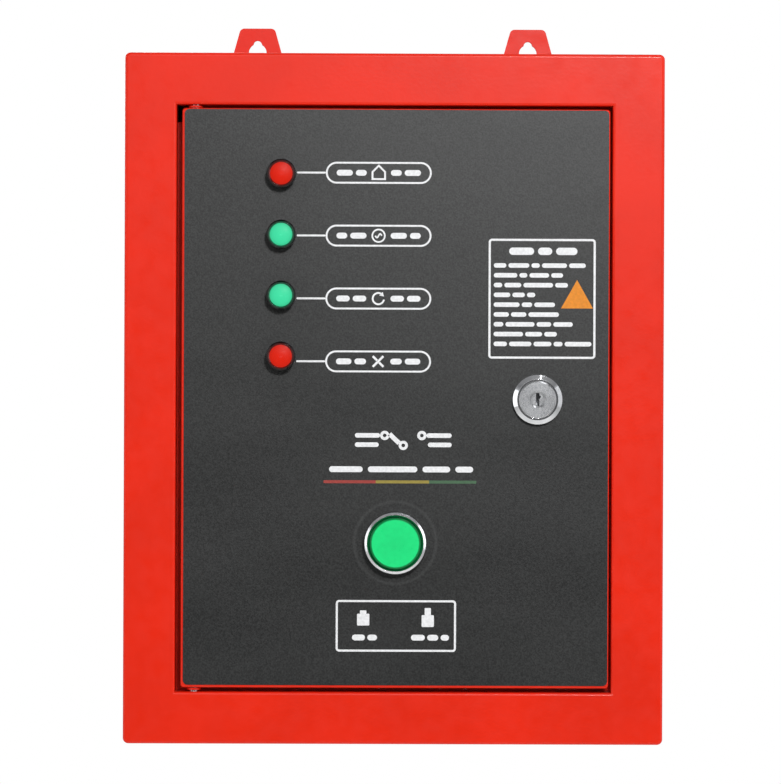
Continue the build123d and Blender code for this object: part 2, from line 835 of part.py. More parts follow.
first_terminal = terminal_x - (terminal_count - 1) / 2 * terminal_w
with BuildPart() as terminal_blocks:
    for i in range(terminal_count):
        x = first_terminal + i * terminal_w
        with BuildSketch(section(x)):
            with BuildLine():
                Polyline(
                    (contactor_back, lower_rail_z - terminal_h / 2),
                    (terminal_shoulder, lower_rail_z - terminal_h / 2),
                    (terminal_front, lower_rail_z - terminal_crown_h / 2),
                    (terminal_front, lower_rail_z + terminal_crown_h / 2),
                    (terminal_shoulder, lower_rail_z + terminal_h / 2),
                    (contactor_back, lower_rail_z + terminal_h / 2),
                    close=True,
                )
            make_face()
            with Locations((seat_mid, lower_rail_z)):
                Rectangle(seat_depth, seat_h, mode=Mode.SUBTRACT)
        extrude(amount=(terminal_w - terminal_gap) / 2, both=True)
    with BuildSketch(facing(terminal_screw_floor, terminal_x, lower_rail_z)):
        with GridLocations(terminal_w, terminal_screw_dz, terminal_count, 2):
            Circle(terminal_hole_r)
    extrude(amount=terminal_front - terminal_screw_floor, mode=Mode.SUBTRACT)
    for sign in (1, -1):
        with BuildSketch(Plane.XY.offset(lower_rail_z + sign * terminal_h / 2)):
            with Locations((terminal_x, -terminal_entry_depth)):
                with GridLocations(terminal_w, 0, terminal_count, 1):
                    Circle(terminal_entry_r)
        extrude(amount=-sign * terminal_entry_length, mode=Mode.SUBTRACT)
terminal_blocks.part.label = "terminal_blocks"
export_step(terminal_blocks.part, "parts/terminal_blocks.step")

# Clamp screws of the contactors, the relay socket and the terminal blocks.
with BuildPart() as terminal_screws:
    for x in contactor_x.values():
        with BuildSketch(facing(pole_floor, x, upper_rail_z)):
            with GridLocations(pole_pitch, 2 * pole_z, pole_count, 2):
                Circle(pole_screw_head_r)
        extrude(amount=pole_screw_head)
        with BuildSketch(facing(pole_floor - pole_screw_length, x, upper_rail_z)):
            with GridLocations(pole_pitch, 2 * pole_z, pole_count, 2):
                Circle(pole_screw_r)
        extrude(amount=pole_screw_length)
        pole_cross_floor = pole_floor + pole_screw_head - pole_cross_depth
        with BuildSketch(facing(pole_cross_floor, x, upper_rail_z)):
            with GridLocations(pole_pitch, 2 * pole_z, pole_count, 2):
                Rectangle(pole_cross_w, pole_cross_h)
                Rectangle(pole_cross_h, pole_cross_w)
        extrude(amount=pole_cross_depth, mode=Mode.SUBTRACT)
    with BuildSketch(facing(socket_hole_floor, relay_x, upper_rail_z)):
        with GridLocations(socket_screw_pitch, socket_wing_dz, 3, 2):
            Circle(socket_screw_r)
    extrude(amount=socket_screw_head)
    socket_slot_floor = socket_hole_floor + socket_screw_head - slot_depth
    with BuildSketch(facing(socket_slot_floor, relay_x, upper_rail_z)):
        with GridLocations(socket_screw_pitch, socket_wing_dz, 3, 2):
            Rectangle(slot_w, slot_h)
    extrude(amount=slot_depth, mode=Mode.SUBTRACT)
    with BuildSketch(facing(terminal_screw_floor, terminal_x, lower_rail_z)):
        with GridLocations(terminal_w, terminal_screw_dz, terminal_count, 2):
            Circle(terminal_screw_r)
    extrude(amount=terminal_screw_head)
    terminal_slot_floor = terminal_screw_floor + terminal_screw_head - slot_depth
    with BuildSketch(facing(terminal_slot_floor, terminal_x, lower_rail_z)):
        with GridLocations(terminal_w, terminal_screw_dz, terminal_count, 2):
            Rectangle(slot_w, slot_h)
    extrude(amount=slot_depth, mode=Mode.SUBTRACT)
terminal_screws.part.label = "terminal_screws"
export_step(terminal_screws.part, "parts/terminal_screws.step")

with BuildPart() as end_stops:
    span = (terminal_count * terminal_w + stop_w) / 2 + stop_gap
    for x in (terminal_x - span, terminal_x + span):
        with BuildSketch(section(x)):
            with Locations(((contactor_back + stop_front) / 2, lower_rail_z)):
                RectangleRounded(stop_front - contactor_back, stop_h, stop_corner_r)
            with Locations((seat_mid, lower_rail_z)):
                Rectangle(seat_depth, seat_h, mode=Mode.SUBTRACT)
        extrude(amount=stop_w / 2, both=True)
end_stops.part.label = "end_stops"
export_step(end_stops.part, "parts/end_stops.step")

# ---------------------------------------------------------------- control board

with BuildPart() as board_standoffs:
    with BuildSketch(facing(plate_front, board_x, board_z)):
        with GridLocations(board_w - 2 * standoff_inset, board_h - 2 * standoff_inset, 2, 2):
            RegularPolygon(standoff_r, 6)
    extrude(amount=board_back - plate_front)
board_standoffs.part.label = "board_standoffs"
export_step(board_standoffs.part, "parts/board_standoffs.step")

with BuildPart() as control_board:
    with BuildSketch(facing(board_back, board_x, board_z)):
        RectangleRounded(board_w, board_h, board_corner_r)
    extrude(amount=board_sheet)
control_board.part.label = "control_board"
export_step(control_board.part, "parts/control_board.step")

with BuildPart() as board_transformer:
    with BuildSketch(facing(board_front, board_x + transformer_dx, board_z + transformer_dz)):
        RectangleRounded(transformer_w, transformer_h, board_part_r)
    extrude(amount=transformer_rise)
board_transformer.part.label = "board_transformer"
export_step(board_transformer.part, "parts/board_transformer.step")

with BuildPart() as board_relays:
    with BuildSketch(facing(board_front, board_x + board_relay_dx, board_z + board_relay_dz)):
        with GridLocations(board_relay_pitch, 0, board_relay_count, 1):
            RectangleRounded(board_relay_w, board_relay_h, board_part_r)
    extrude(amount=board_relay_w)
board_relays.part.label = "board_relays"
export_step(board_relays.part, "parts/board_relays.step")

with BuildPart() as board_terminals:
    with BuildSketch(facing(board_front, board_x, board_z + strip_dz)):
        Rectangle(strip_w, strip_h)
    extrude(amount=strip_rise)
    strip_floor = board_front + strip_rise - strip_hole_depth
    with BuildSketch(facing(strip_floor, board_x, board_z + strip_dz)):
        with GridLocations(strip_pitch, 0, strip_count, 1):
            Circle(strip_hole_r)
    extrude(amount=strip_hole_depth, mode=Mode.SUBTRACT)
board_terminals.part.label = "board_terminals"
export_step(board_terminals.part, "parts/board_terminals.step")

# Battery charger in a ventilated can beside the board.
with BuildPart() as charger_module:
    with BuildSketch(facing(plate_front, charger_x, charger_z)):
        RectangleRounded(charger_w, charger_h, charger_corner_r)
    extrude(amount=charger_front - plate_front)
    fillet(charger_module.faces().sort_by(Axis.Y)[0].edges(), charger_edge_r)
    with BuildSketch(facing(charger_front - vent_depth, charger_x, charger_z)):
        with GridLocations(0, vent_pitch, 1, vent_count):
            SlotOverall(vent_w, vent_h)
    extrude(amount=vent_depth, mode=Mode.SUBTRACT)
charger_module.part.label = "charger_module"
export_step(charger_module.part, "parts/charger_module.step")

# ---------------------------------------------------------------- door

# Folded tray. Its flanges turn back into the gutter of the opening, and the hinge
# pins enter holes in the upper and lower flanges.
with BuildPart() as door_panel:
    with BuildSketch(facing(box_d - door_flange, door_x, door_z)):
        RectangleRounded(door_w, door_h, bend_r)
    extrude(amount=door_flange)
    fillet(door_panel.faces().sort_by(Axis.Y)[0].edges(), panel_bend_r)
    with BuildSketch(facing(box_d - door_flange, door_x, door_z)):
        Rectangle(door_w - 2 * sheet, door_h - 2 * sheet)
    extrude(amount=door_flange - sheet, mode=Mode.SUBTRACT)
    with BuildSketch(facing(door_back)):
        for z in lamp_z.values():
            with Locations((lamp_x, z)):
                Circle(lamp_hole_r)
        with Locations((button_x, button_z)):
            Circle(button_hole_r)
    extrude(amount=sheet, mode=Mode.SUBTRACT)
    with BuildSketch(facing(door_back, lock_x, lock_z)):
        Circle(lock_barrel_r + lock_hole_gap)
        Rectangle(2 * lock_r, lock_flat + 2 * lock_hole_gap, mode=Mode.INTERSECT)
    extrude(amount=sheet, mode=Mode.SUBTRACT)
    with BuildSketch(Plane.XY.offset(door_low)):
        with Locations((hinge_x, -hinge_depth)):
            Circle(hinge_hole_r)
    extrude(amount=door_h, mode=Mode.SUBTRACT)
door_panel.part.label = "door_panel"
export_step(door_panel.part, "parts/door_panel.step")

with BuildPart() as door_overlay:
    with BuildSketch(facing(box_d)):
        with Locations((overlay_x, overlay_z)):
            RectangleRounded(overlay_w, overlay_h, overlay_corner_r)
        for z in lamp_z.values():
            with Locations((lamp_x, z)):
                Circle(lamp_hole_r, mode=Mode.SUBTRACT)
        with Locations((button_x, button_z)):
            Circle(button_hole_r, mode=Mode.SUBTRACT)
        with Locations((lock_x, lock_z)):
            Circle(lock_barrel_r + lock_hole_gap, mode=Mode.SUBTRACT)
    extrude(amount=overlay_sheet)
door_overlay.part.label = "door_overlay"
export_step(door_overlay.part, "parts/door_overlay.step")

with BuildPart() as door_seal:
    with BuildSketch(facing(seal_back)):
        RectangleRounded(seal_w, seal_h, seal_corner_r)
        Rectangle(seal_w - 2 * seal_band, seal_h - 2 * seal_band, mode=Mode.SUBTRACT)
    extrude(amount=door_back - seal_back)
door_seal.part.label = "door_seal"
export_step(door_seal.part, "parts/door_seal.step")

# Pilot lamps: a turned bezel on a threaded barrel, with the lens in its mouth.
lamp_front = overlay_front + lamp_rise
lens_seat = lamp_front - lens_depth
lens_top = lamp_front + lens_dome
lens_edge = (lamp_lens_r, lamp_front - lamp_mouth)
for name, z in lamp_z.items():
    with BuildPart() as lamp_body:
        with BuildSketch(lathe(lamp_x, z)):
            with BuildLine():
                Polyline(
                    (0, lamp_back),
                    (lamp_barrel_r, lamp_back),
                    (lamp_barrel_r, overlay_front),
                    (lamp_r, overlay_front),
                    (lamp_r, lamp_front - lamp_bevel),
                    (lamp_r - lamp_bevel, lamp_front),
                    (lamp_lens_r, lamp_front - lamp_mouth),
                    (lamp_lens_r, lens_seat),
                    (0, lens_seat),
                    close=True,
                )
            make_face()
        revolve(axis=depth_axis(lamp_x, z))
        with BuildSketch(facing(lamp_back, lamp_x, z)):
            with GridLocations(lamp_tab_pitch, 0, 2, 1):
                Rectangle(lamp_tab_w, lamp_tab_h)
        extrude(amount=-lamp_tab_length)
    lamp_body.part.label = f"{name}_lamp_body"
    export_step(lamp_body.part, f"parts/{name}_lamp_body.step")

    with BuildPart() as lamp_lens:
        with BuildSketch(lathe(lamp_x, z)):
            with BuildLine():
                Polyline((0, lens_top), (0, lens_seat), (lamp_lens_r, lens_seat), lens_edge)
                TangentArc((0, lens_top), lens_edge, tangent=(1, 0))
            make_face()
        revolve(axis=depth_axis(lamp_x, z))
    lamp_lens.part.label = f"{name}_lamp_lens"
    export_step(lamp_lens.part, f"parts/{name}_lamp_lens.step")

with BuildPart() as lamp_nuts:
    with BuildSketch(facing(door_back)):
        for z in lamp_z.values():
            with Locations((lamp_x, z)):
                RegularPolygon(lamp_nut_r, 6)
                Circle(lamp_barrel_r, mode=Mode.SUBTRACT)
    extrude(amount=-lamp_nut)
lamp_nuts.part.label = "lamp_nuts"
export_step(lamp_nuts.part, "parts/lamp_nuts.step")

# Push-button head: sealing ring, chrome bezel on a threaded barrel, and the lens cap
# whose stem slides in the barrel and works the contact block behind.
with BuildPart() as button_ring_seal:
    with BuildSketch(facing(overlay_front, button_x, button_z)):
        Circle(button_seal_r)
        Circle(button_hole_r, mode=Mode.SUBTRACT)
    extrude(amount=button_ring)
button_ring_seal.part.label = "button_ring_seal"
export_step(button_ring_seal.part, "parts/button_ring_seal.step")

with BuildPart() as button_bezel:
    with BuildSketch(lathe(button_x, button_z)):
        with BuildLine():
            Polyline(
                (button_bore_r, barrel_back),
                (button_barrel_r, barrel_back),
                (button_barrel_r, overlay_front + button_ring),
                (button_r, overlay_front + button_ring),
                (button_r, button_bezel_top - button_skirt),
                (button_r - button_shoulder_in, button_bezel_top - button_shoulder),
                (button_crown_r, button_bezel_top),
                (button_seat_r, button_bezel_top - button_crown),
                (button_seat_r, button_seat),
                (button_bore_r, button_seat),
                close=True,
            )
        make_face()
    revolve(axis=depth_axis(button_x, button_z))
button_bezel.part.label = "button_bezel"
export_step(button_bezel.part, "parts/button_bezel.step")

with BuildPart() as button_cap:
    with BuildSketch(lathe(button_x, button_z)):
        with BuildLine():
            Polyline(
                (0, stem_back),
                (button_stem_r, stem_back),
                (button_stem_r, button_cap_back),
                (button_cap_r, button_cap_back),
                (button_cap_r, button_cap_top - button_cap_bevel),
                (button_cap_r - button_cap_bevel, button_cap_top),
                (0, button_cap_top),
                close=True,
            )
        make_face()
    revolve(axis=depth_axis(button_x, button_z))
button_cap.part.label = "button_cap"
export_step(button_cap.part, "parts/button_cap.step")

with BuildPart() as button_nut:
    with BuildSketch(facing(door_back, button_x, button_z)):
        RegularPolygon(button_nut_r, 6)
        Circle(button_barrel_r, mode=Mode.SUBTRACT)
    extrude(amount=-button_nut_t)
button_nut.part.label = "button_nut"
export_step(button_nut.part, "parts/button_nut.step")

with BuildPart() as contact_block:
    with BuildSketch(facing(block_back, button_x, button_z)):
        RectangleRounded(block_w, block_h, block_corner_r)
    extrude(amount=barrel_back - block_back)
    with BuildSketch(facing(block_well, button_x, button_z)):
        Circle(block_well_r)
    extrude(amount=barrel_back - block_well, mode=Mode.SUBTRACT)
    with BuildSketch(facing(block_back, button_x, button_z)):
        with GridLocations(block_port_dx, block_port_dz, 2, 2):
            Circle(block_port_r)
    extrude(amount=block_port_depth, mode=Mode.SUBTRACT)
contact_block.part.label = "contact_block"
export_step(contact_block.part, "parts/contact_block.step")

# Return spring between the stem and the floor of the block's well.
spring_low = block_well + spring_wire_r
spring_high = stem_back - spring_wire_r
with BuildPart() as button_spring:
    with BuildLine():
        coil = Helix(
            pitch=(spring_high - spring_low) / spring_turns,
            height=spring_high - spring_low,
            radius=spring_r,
            center=(button_x, -spring_low, button_z),
            direction=(0, -1, 0),
        )
    with BuildSketch(Plane(origin=coil @ 0, z_dir=coil % 0)):
        Circle(spring_wire_r)
    sweep(path=coil, is_frenet=True)
button_spring.part.label = "button_spring"
export_step(button_spring.part, "parts/button_spring.step")

# ---------------------------------------------------------------- cam lock

bevel_r = lock_face_r + lock_crown
lock_front = overlay_front + lock_rise
face_seat = overlay_front + lock_seat
plug_seat = face_seat + lock_hole_gap
with BuildPart() as lock_barrel:
    with BuildSketch(facing(lock_back, lock_x, lock_z)):
        Circle(lock_barrel_r)
        Rectangle(2 * lock_r, lock_flat, mode=Mode.INTERSECT)
    extrude(amount=overlay_front - lock_back)
    with BuildSketch(lathe(lock_x, lock_z)):
        with BuildLine():
            Polyline(
                (0, overlay_front),
                (lock_r, overlay_front),
                (lock_r, overlay_front + lock_skirt),
                (bevel_r + lock_crown_in, lock_front),
                (bevel_r, lock_front),
                (0, lock_front),
                close=True,
            )
        make_face()
    revolve(axis=depth_axis(lock_x, lock_z))
    with BuildSketch(facing(lock_back, lock_x, lock_z)):
        Circle(lock_bore_r)
    extrude(amount=box_d, mode=Mode.SUBTRACT)
    with BuildSketch(facing(face_seat, lock_x, lock_z)):
        Circle(lock_face_r + lock_face_gap)
    extrude(amount=box_d, mode=Mode.SUBTRACT)
lock_barrel.part.label = "lock_barrel"
export_step(lock_barrel.part, "parts/lock_barrel.step")

with BuildPart() as lock_plug:
    with BuildSketch(lathe(lock_x, lock_z)):
        with BuildLine():
            Polyline(
                (0, cam_front),
                (lock_shaft_r, cam_front),
                (lock_shaft_r, plug_seat),
                (lock_face_r, plug_seat),
                (lock_face_r, lock_front),
                (lock_face_r - lock_crown_in, lock_front + lock_crown),
                (lock_dish_r, lock_front + lock_crown),
                (lock_dish_floor_r, lock_front - lock_dish),
                (0, lock_front - lock_dish),
                close=True,
            )
        make_face()
    revolve(axis=depth_axis(lock_x, lock_z))
    with BuildSketch(facing(cam_back, lock_x, lock_z)):
        Rectangle(cam_square, cam_square)
    extrude(amount=cam_sheet)
    with BuildSketch(facing(lock_front - keyway_depth, lock_x, lock_z)):
        Rectangle(keyway_w, keyway_h)
        with Locations((keyway_ward_x, keyway_ward_h)):
            Rectangle(keyway_w, keyway_ward_h)
    extrude(amount=keyway_depth + lock_crown, mode=Mode.SUBTRACT)
lock_plug.part.label = "lock_plug"
export_step(lock_plug.part, "parts/lock_plug.step")

with BuildPart() as lock_nut:
    with BuildSketch(facing(door_back, lock_x, lock_z)):
        RegularPolygon(lock_nut_r, 6)
        Circle(lock_barrel_r, mode=Mode.SUBTRACT)
    extrude(amount=-lock_nut_t)
lock_nut.part.label = "lock_nut"
export_step(lock_nut.part, "parts/lock_nut.step")

# The cam stands up when the lock is open and turns behind the gutter ledge to lock.
with BuildPart() as lock_cam:
    with BuildSketch(facing(cam_back, lock_x, lock_z)) as cam_outline:
        with Locations((0, (cam_reach - cam_w / 2) / 2)):
            Rectangle(cam_w, cam_reach + cam_w / 2)
        fillet(cam_outline.vertices(), cam_corner_r)
        Rectangle(cam_square, cam_square, mode=Mode.SUBTRACT)
    extrude(amount=cam_sheet)
lock_cam.part.label = "lock_cam"
export_step(lock_cam.part, "parts/lock_cam.step")

with BuildPart() as cam_screw:
    with BuildSketch(facing(cam_back, lock_x, lock_z)):
        Circle(cam_washer_r)
    extrude(amount=-cam_washer)
    with BuildSketch(facing(cam_back - cam_washer, lock_x, lock_z)):
        RegularPolygon(cam_bolt_r, 6)
    extrude(amount=-cam_bolt)
cam_screw.part.label = "cam_screw"
export_step(cam_screw.part, "parts/cam_screw.step")

# ---------------------------------------------------------------- power wires

top_end = upper_rail_z + 28.7
bottom_end = upper_rail_z - 28.7
terminal_entry = lower_rail_z + terminal_h / 2 - 7
pole_depth = pole_floor + 2.2


def pole(name, number):
    """X of a contactor's pole, counted from the left."""
    return contactor_x[name] + (number - 1.5) * pole_pitch


def terminal(number):
    """X of a terminal block, counted from the left."""
    return first_terminal + number * terminal_w


wire_routes = {
    "mains_wires": [
        [
            (pole("mains", 0), -pole_depth, top_end),
            (pole("mains", 0), -pole_depth, 104),
            (-92, -60, 104),
            (-92, -60, -48),
            (terminal(0), -42, -54),
            (terminal(0), -42, terminal_entry),
        ],
        [
            (pole("mains", 1), -pole_depth, top_end),
            (pole("mains", 1), -pole_depth, 111),
            (-99, -60, 111),
            (-99, -60, -40),
            (terminal(1), -48, -48),
            (terminal(1), -42, -58),
            (terminal(1), -42, terminal_entry),
        ],
    ],
    "generator_wires": [
        [
            (pole("generator", 3), -pole_depth, top_end),
            (pole("generator", 3), -pole_depth, 106),
            (93, -60, 106),
            (93, -60, -38),
            (terminal(11), -56, -38),
            (terminal(11), -42, -56),
            (terminal(11), -42, terminal_entry),
        ],
        [
            (pole("generator", 2), -pole_depth, top_end),
            (pole("generator", 2), -pole_depth, 113),
            (100, -60, 113),
            (100, -60, -28),
            (terminal(10), -60, -28),
            (terminal(10), -42, -58),
            (terminal(10), -42, terminal_entry),
        ],
    ],
    "load_wires": [
        [
            (pole("mains", 1), -pole_depth, bottom_end),
            (pole("mains", 1), -66, 10),
            (pole("generator", 0), -66, 10),
            (pole("generator", 0), -pole_depth, bottom_end),
        ],
        [
            (pole("mains", 2), -pole_depth, bottom_end),
            (pole("mains", 2), -76, 14),
            (pole("generator", 1), -76, 14),
            (pole("generator", 1), -pole_depth, bottom_end),
        ],
        [
            (pole("generator", 2), -pole_depth, bottom_end),
            (pole("generator", 2), -70, 6),
            (terminal(6), -62, -46),
            (terminal(6), -42, -56),
            (terminal(6), -42, terminal_entry),
        ],
        [
            (pole("generator", 3), -pole_depth, bottom_end),
            (pole("generator", 3), -70, 8),
            (terminal(8), -62, -46),
            (terminal(8), -42, -56),
            (terminal(8), -42, terminal_entry),
        ],
    ],
}

for name, routes in wire_routes.items():
    with BuildPart() as wires:
        for route in routes:
            with BuildLine() as run:
                FilletPolyline(*route, radius=wire_bend_r)
            with BuildSketch(Plane(origin=run.line @ 0, z_dir=run.line % 0)):
                Circle(wire_r)
            sweep(path=run.line)
    wires.part.label = name
    export_step(wires.part, f"parts/{name}.step")
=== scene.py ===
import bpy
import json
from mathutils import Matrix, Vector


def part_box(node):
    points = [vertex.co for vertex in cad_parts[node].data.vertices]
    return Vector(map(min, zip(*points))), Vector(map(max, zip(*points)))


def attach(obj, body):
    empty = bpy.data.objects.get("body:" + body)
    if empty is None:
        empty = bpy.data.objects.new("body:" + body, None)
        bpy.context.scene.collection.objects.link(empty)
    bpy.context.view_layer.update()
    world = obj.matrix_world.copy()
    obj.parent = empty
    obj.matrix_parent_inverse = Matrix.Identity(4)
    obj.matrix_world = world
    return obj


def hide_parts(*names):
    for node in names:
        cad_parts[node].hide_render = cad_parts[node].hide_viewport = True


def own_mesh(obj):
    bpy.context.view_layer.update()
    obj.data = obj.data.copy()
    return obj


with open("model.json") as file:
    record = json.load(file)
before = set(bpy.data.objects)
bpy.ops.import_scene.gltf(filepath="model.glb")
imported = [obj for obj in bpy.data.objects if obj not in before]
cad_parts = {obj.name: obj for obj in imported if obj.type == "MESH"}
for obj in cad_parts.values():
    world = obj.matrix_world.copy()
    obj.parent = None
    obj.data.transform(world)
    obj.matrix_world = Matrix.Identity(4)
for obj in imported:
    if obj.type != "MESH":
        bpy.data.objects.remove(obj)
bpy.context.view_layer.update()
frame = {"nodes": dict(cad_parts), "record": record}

import json
import math

import bmesh
import bpy
from mathutils import Matrix, Vector

# A wall-hung transfer switch box: its finishes, the marks printed on the door, the small
# pieces on the switchgear, and the studio. Metres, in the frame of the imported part.

MM = 0.001
pin_pitch = 2.54 * MM
nodes = frame["nodes"]
slot_of = {part["node"]: part["material_slot"] for part in frame["record"]["subparts"]}


def centre(node):
    """The middle of a CAD node's box."""
    low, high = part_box(node)
    return Vector(low).lerp(Vector(high), 0.5)


def front(node):
    """The y of a CAD node's front."""
    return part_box(node)[0][1]


# ---------------------------------------------------------------- materials


def linear(value):
    """A display value from 0 to 255 as linear light."""
    share = value / 255
    if share <= 0.04045:
        return share / 12.92
    return ((share + 0.055) / 1.055) ** 2.4


def rgb(red, green, blue):
    """A display colour as a linear one with alpha."""
    return (linear(red), linear(green), linear(blue), 1.0)


def shaded(tint, factor):
    """A colour made lighter or darker."""
    return (*(min(1.0, part * factor) for part in tint[:3]), 1.0)


class Finish:
    """A material under construction, with a short call for each kind of node."""

    def __init__(self, name, tint, roughness=0.5, metallic=0.0, specular=0.5):
        self.material = bpy.data.materials.new(name)
        self.material.use_nodes = True
        self.material.diffuse_color = tint
        self.tree = self.material.node_tree
        self.shader = self.tree.nodes["Principled BSDF"]
        self.put("Base Color", tint)
        self.put("Roughness", roughness)
        self.put("Metallic", metallic)
        self.put("Specular IOR Level", specular)
        self.place = self.node("ShaderNodeTexCoord").outputs["Object"]

    def node(self, kind, **settings):
        made = self.tree.nodes.new(kind)
        for name, value in settings.items():
            setattr(made, name, value)
        return made

    def put(self, socket, value):
        """A plain value, or another node's output, on a socket of the shader."""
        self.feed(self.shader.inputs[socket], value)

    def feed(self, socket, value):
        if isinstance(value, bpy.types.NodeSocket):
            self.tree.links.new(value, socket)
        else:
            socket.default_value = value

    def stretch(self, scale, shift=(0, 0, 0)):
        """The object's coordinates, scaled along each axis."""
        mapping = self.node("ShaderNodeMapping")
        self.feed(mapping.inputs["Vector"], self.place)
        self.feed(mapping.inputs["Scale"], scale)
        self.feed(mapping.inputs["Location"], shift)
        return mapping.outputs["Vector"]

    def noise(self, scale, detail=3.0, along=None):
        made = self.node("ShaderNodeTexNoise")
        self.feed(made.inputs["Vector"], along or self.place)
        self.feed(made.inputs["Scale"], scale)
        self.feed(made.inputs["Detail"], detail)
        return made.outputs["Fac"]

    def cells(self, scale, feature="F1", along=None, output="Distance"):
        made = self.node("ShaderNodeTexVoronoi", feature=feature)
        self.feed(made.inputs["Vector"], along or self.place)
        self.feed(made.inputs["Scale"], scale)
        return made.outputs[output]

    def math(self, operation, first, second=0.0):
        made = self.node("ShaderNodeMath", operation=operation)
        self.feed(made.inputs[0], first)
        self.feed(made.inputs[1], second)
        return made.outputs[0]

    def span(self, value, low, high, to_low=0.0, to_high=1.0):
        """value from low..high, brought to to_low..to_high and held there."""
        made = self.node("ShaderNodeMapRange")
        self.feed(made.inputs["Value"], value)
        self.feed(made.inputs["From Min"], low)
        self.feed(made.inputs["From Max"], high)
        self.feed(made.inputs["To Min"], to_low)
        self.feed(made.inputs["To Max"], to_high)
        return made.outputs["Result"]

    def blend(self, factor, first, second):
        """A colour between two colours."""
        made = self.node("ShaderNodeMix", data_type="RGBA")
        self.feed(made.inputs["Factor"], factor)
        self.feed(made.inputs[6], first)
        self.feed(made.inputs[7], second)
        return made.outputs[2]

    def ramp(self, factor, stops, smooth=True):
        """A colour ramp of (place, colour) stops."""
        made = self.node("ShaderNodeValToRGB")
        made.color_ramp.interpolation = "EASE" if smooth else "LINEAR"
        points = made.color_ramp.elements
        for point, (place, tint) in ((points[0], stops[0]), (points[1], stops[-1])):
            point.position = place
            point.color = tint
        for place, tint in stops[1:-1]:
            points.new(place).color = tint
        self.feed(made.inputs["Fac"], factor)
        return made.outputs["Color"]

    def soft_edges(self, radius):
        """A normal that rounds sharp edges over a small radius."""
        made = self.node("ShaderNodeBevel", samples=4)
        self.feed(made.inputs["Radius"], radius)
        return made.outputs["Normal"]

    def edges(self, radius):
        """1 along outer and inner edges, 0 on flats."""
        flat = 0.97
        bent = self.soft_edges(radius)
        true = self.node("ShaderNodeNewGeometry").outputs["True Normal"]
        dot = self.node("ShaderNodeVectorMath", operation="DOT_PRODUCT")
        self.feed(dot.inputs[0], bent)
        self.feed(dot.inputs[1], true)
        return self.span(dot.outputs["Value"], flat, 1.0, 1.0, 0.0)

    def roughen(self, scale, detail, low, high):
        """Roughness that wanders between two values."""
        self.put("Roughness", self.span(self.noise(scale, detail), 0.3, 0.7, low, high))

    def relief(self, height, depth, under=None, strength=1.0):
        """A bump of the given depth, over an earlier normal."""
        made = self.node("ShaderNodeBump")
        self.feed(made.inputs["Height"], height)
        self.feed(made.inputs["Distance"], depth)
        self.feed(made.inputs["Strength"], strength)
        if under is not None:
            self.feed(made.inputs["Normal"], under)
        return made.outputs["Normal"]

    def depth(self):
        """The y of the point that is shaded."""
        split = self.node("ShaderNodeSeparateXYZ")
        self.feed(split.inputs[0], self.place)
        return split.outputs["Y"]

    def radius(self, x, z):
        """The distance from a depthwise axis."""
        shifted = self.stretch((1, 0, 1), (-x, 0, -z))
        made = self.node("ShaderNodeVectorMath", operation="LENGTH")
        self.feed(made.inputs[0], shifted)
        return made.outputs["Value"]


def painted_steel():
    """Semi-gloss powder paint with orange peel, faint mottling and paler rubbed edges."""
    tint = rgb(233, 40, 14)
    f = Finish("red_paint", tint, roughness=0.36, specular=0.2)
    mottle = f.noise(26, 4)
    base = f.blend(f.span(mottle, 0.35, 0.65), shaded(tint, 0.95), shaded(tint, 1.04))
    speck = f.span(f.noise(2600, 1), 0.7, 0.76)
    base = f.blend(f.math("MULTIPLY", speck, 0.22), base, rgb(150, 22, 14))
    rubbed = f.math("MULTIPLY", f.edges(0.5 * MM), f.span(f.noise(95, 5), 0.5, 0.68))
    base = f.blend(f.math("MULTIPLY", rubbed, 0.3), base, rgb(250, 112, 88))
    f.put("Base Color", base)
    f.roughen(140, 3, 0.28, 0.42)
    soft = f.soft_edges(0.25 * MM)
    peel = f.relief(f.noise(620, 2), 0.05 * MM, soft, 0.55)
    f.put("Normal", f.relief(f.noise(2400, 2), 0.012 * MM, peel, 0.5))
    f.put("Coat Weight", 0.14)
    f.put("Coat Roughness", 0.1)
    return f.material


def printed_film():
    """The door's film: a fine matt grain, dust, and a faint pale ring round the button, which is a
    painted reflection of the button's chrome bezel.
    """
    glint_ring_r = 19.0 * MM
    f = Finish("overlay_film", rgb(34, 34, 35), roughness=0.38, specular=0.48)
    grain = f.noise(1500, 3)
    base = f.blend(f.span(grain, 0.34, 0.66), rgb(13, 14, 14), rgb(44, 45, 45))
    button = centre("button_bezel")
    off_ring = f.math("ABSOLUTE", f.math("SUBTRACT", f.radius(button.x, button.z), glint_ring_r))
    # Lighter ring round the button: painted reflection of light off the chrome bezel.
    painted_glint_ring = f.span(off_ring, 0.1 * MM, 1.1 * MM, 0.24, 0.0)
    base = f.blend(painted_glint_ring, base, rgb(84, 85, 85))
    dust = f.span(f.cells(330), 0.0, 0.06, 1.0, 0.0)
    dust = f.math("MULTIPLY", dust, f.span(f.noise(60, 2), 0.56, 0.66))
    base = f.blend(f.math("MULTIPLY", dust, 0.35), base, rgb(128, 128, 130))
    f.put("Base Color", base)
    wiped = f.noise(9, 4, f.stretch((1, 1, 3)))
    f.put("Roughness", f.span(wiped, 0.3, 0.7, 0.34, 0.42))
    f.put("Normal", f.relief(grain, 0.03 * MM, None, 0.9))
    return f.material


def ink(name, tint):
    """Screen-printed ink with a slightly uneven surface."""
    f = Finish(name, tint, roughness=0.55, specular=0.35)
    patch = f.span(f.noise(900, 3), 0.3, 0.7)
    f.put("Base Color", f.blend(patch, shaded(tint, 0.88), shaded(tint, 1.06)))
    f.roughen(400, 2, 0.48, 0.62)
    f.put("Normal", f.relief(f.noise(3000, 2), 0.01 * MM, None, 0.6))
    return f.material


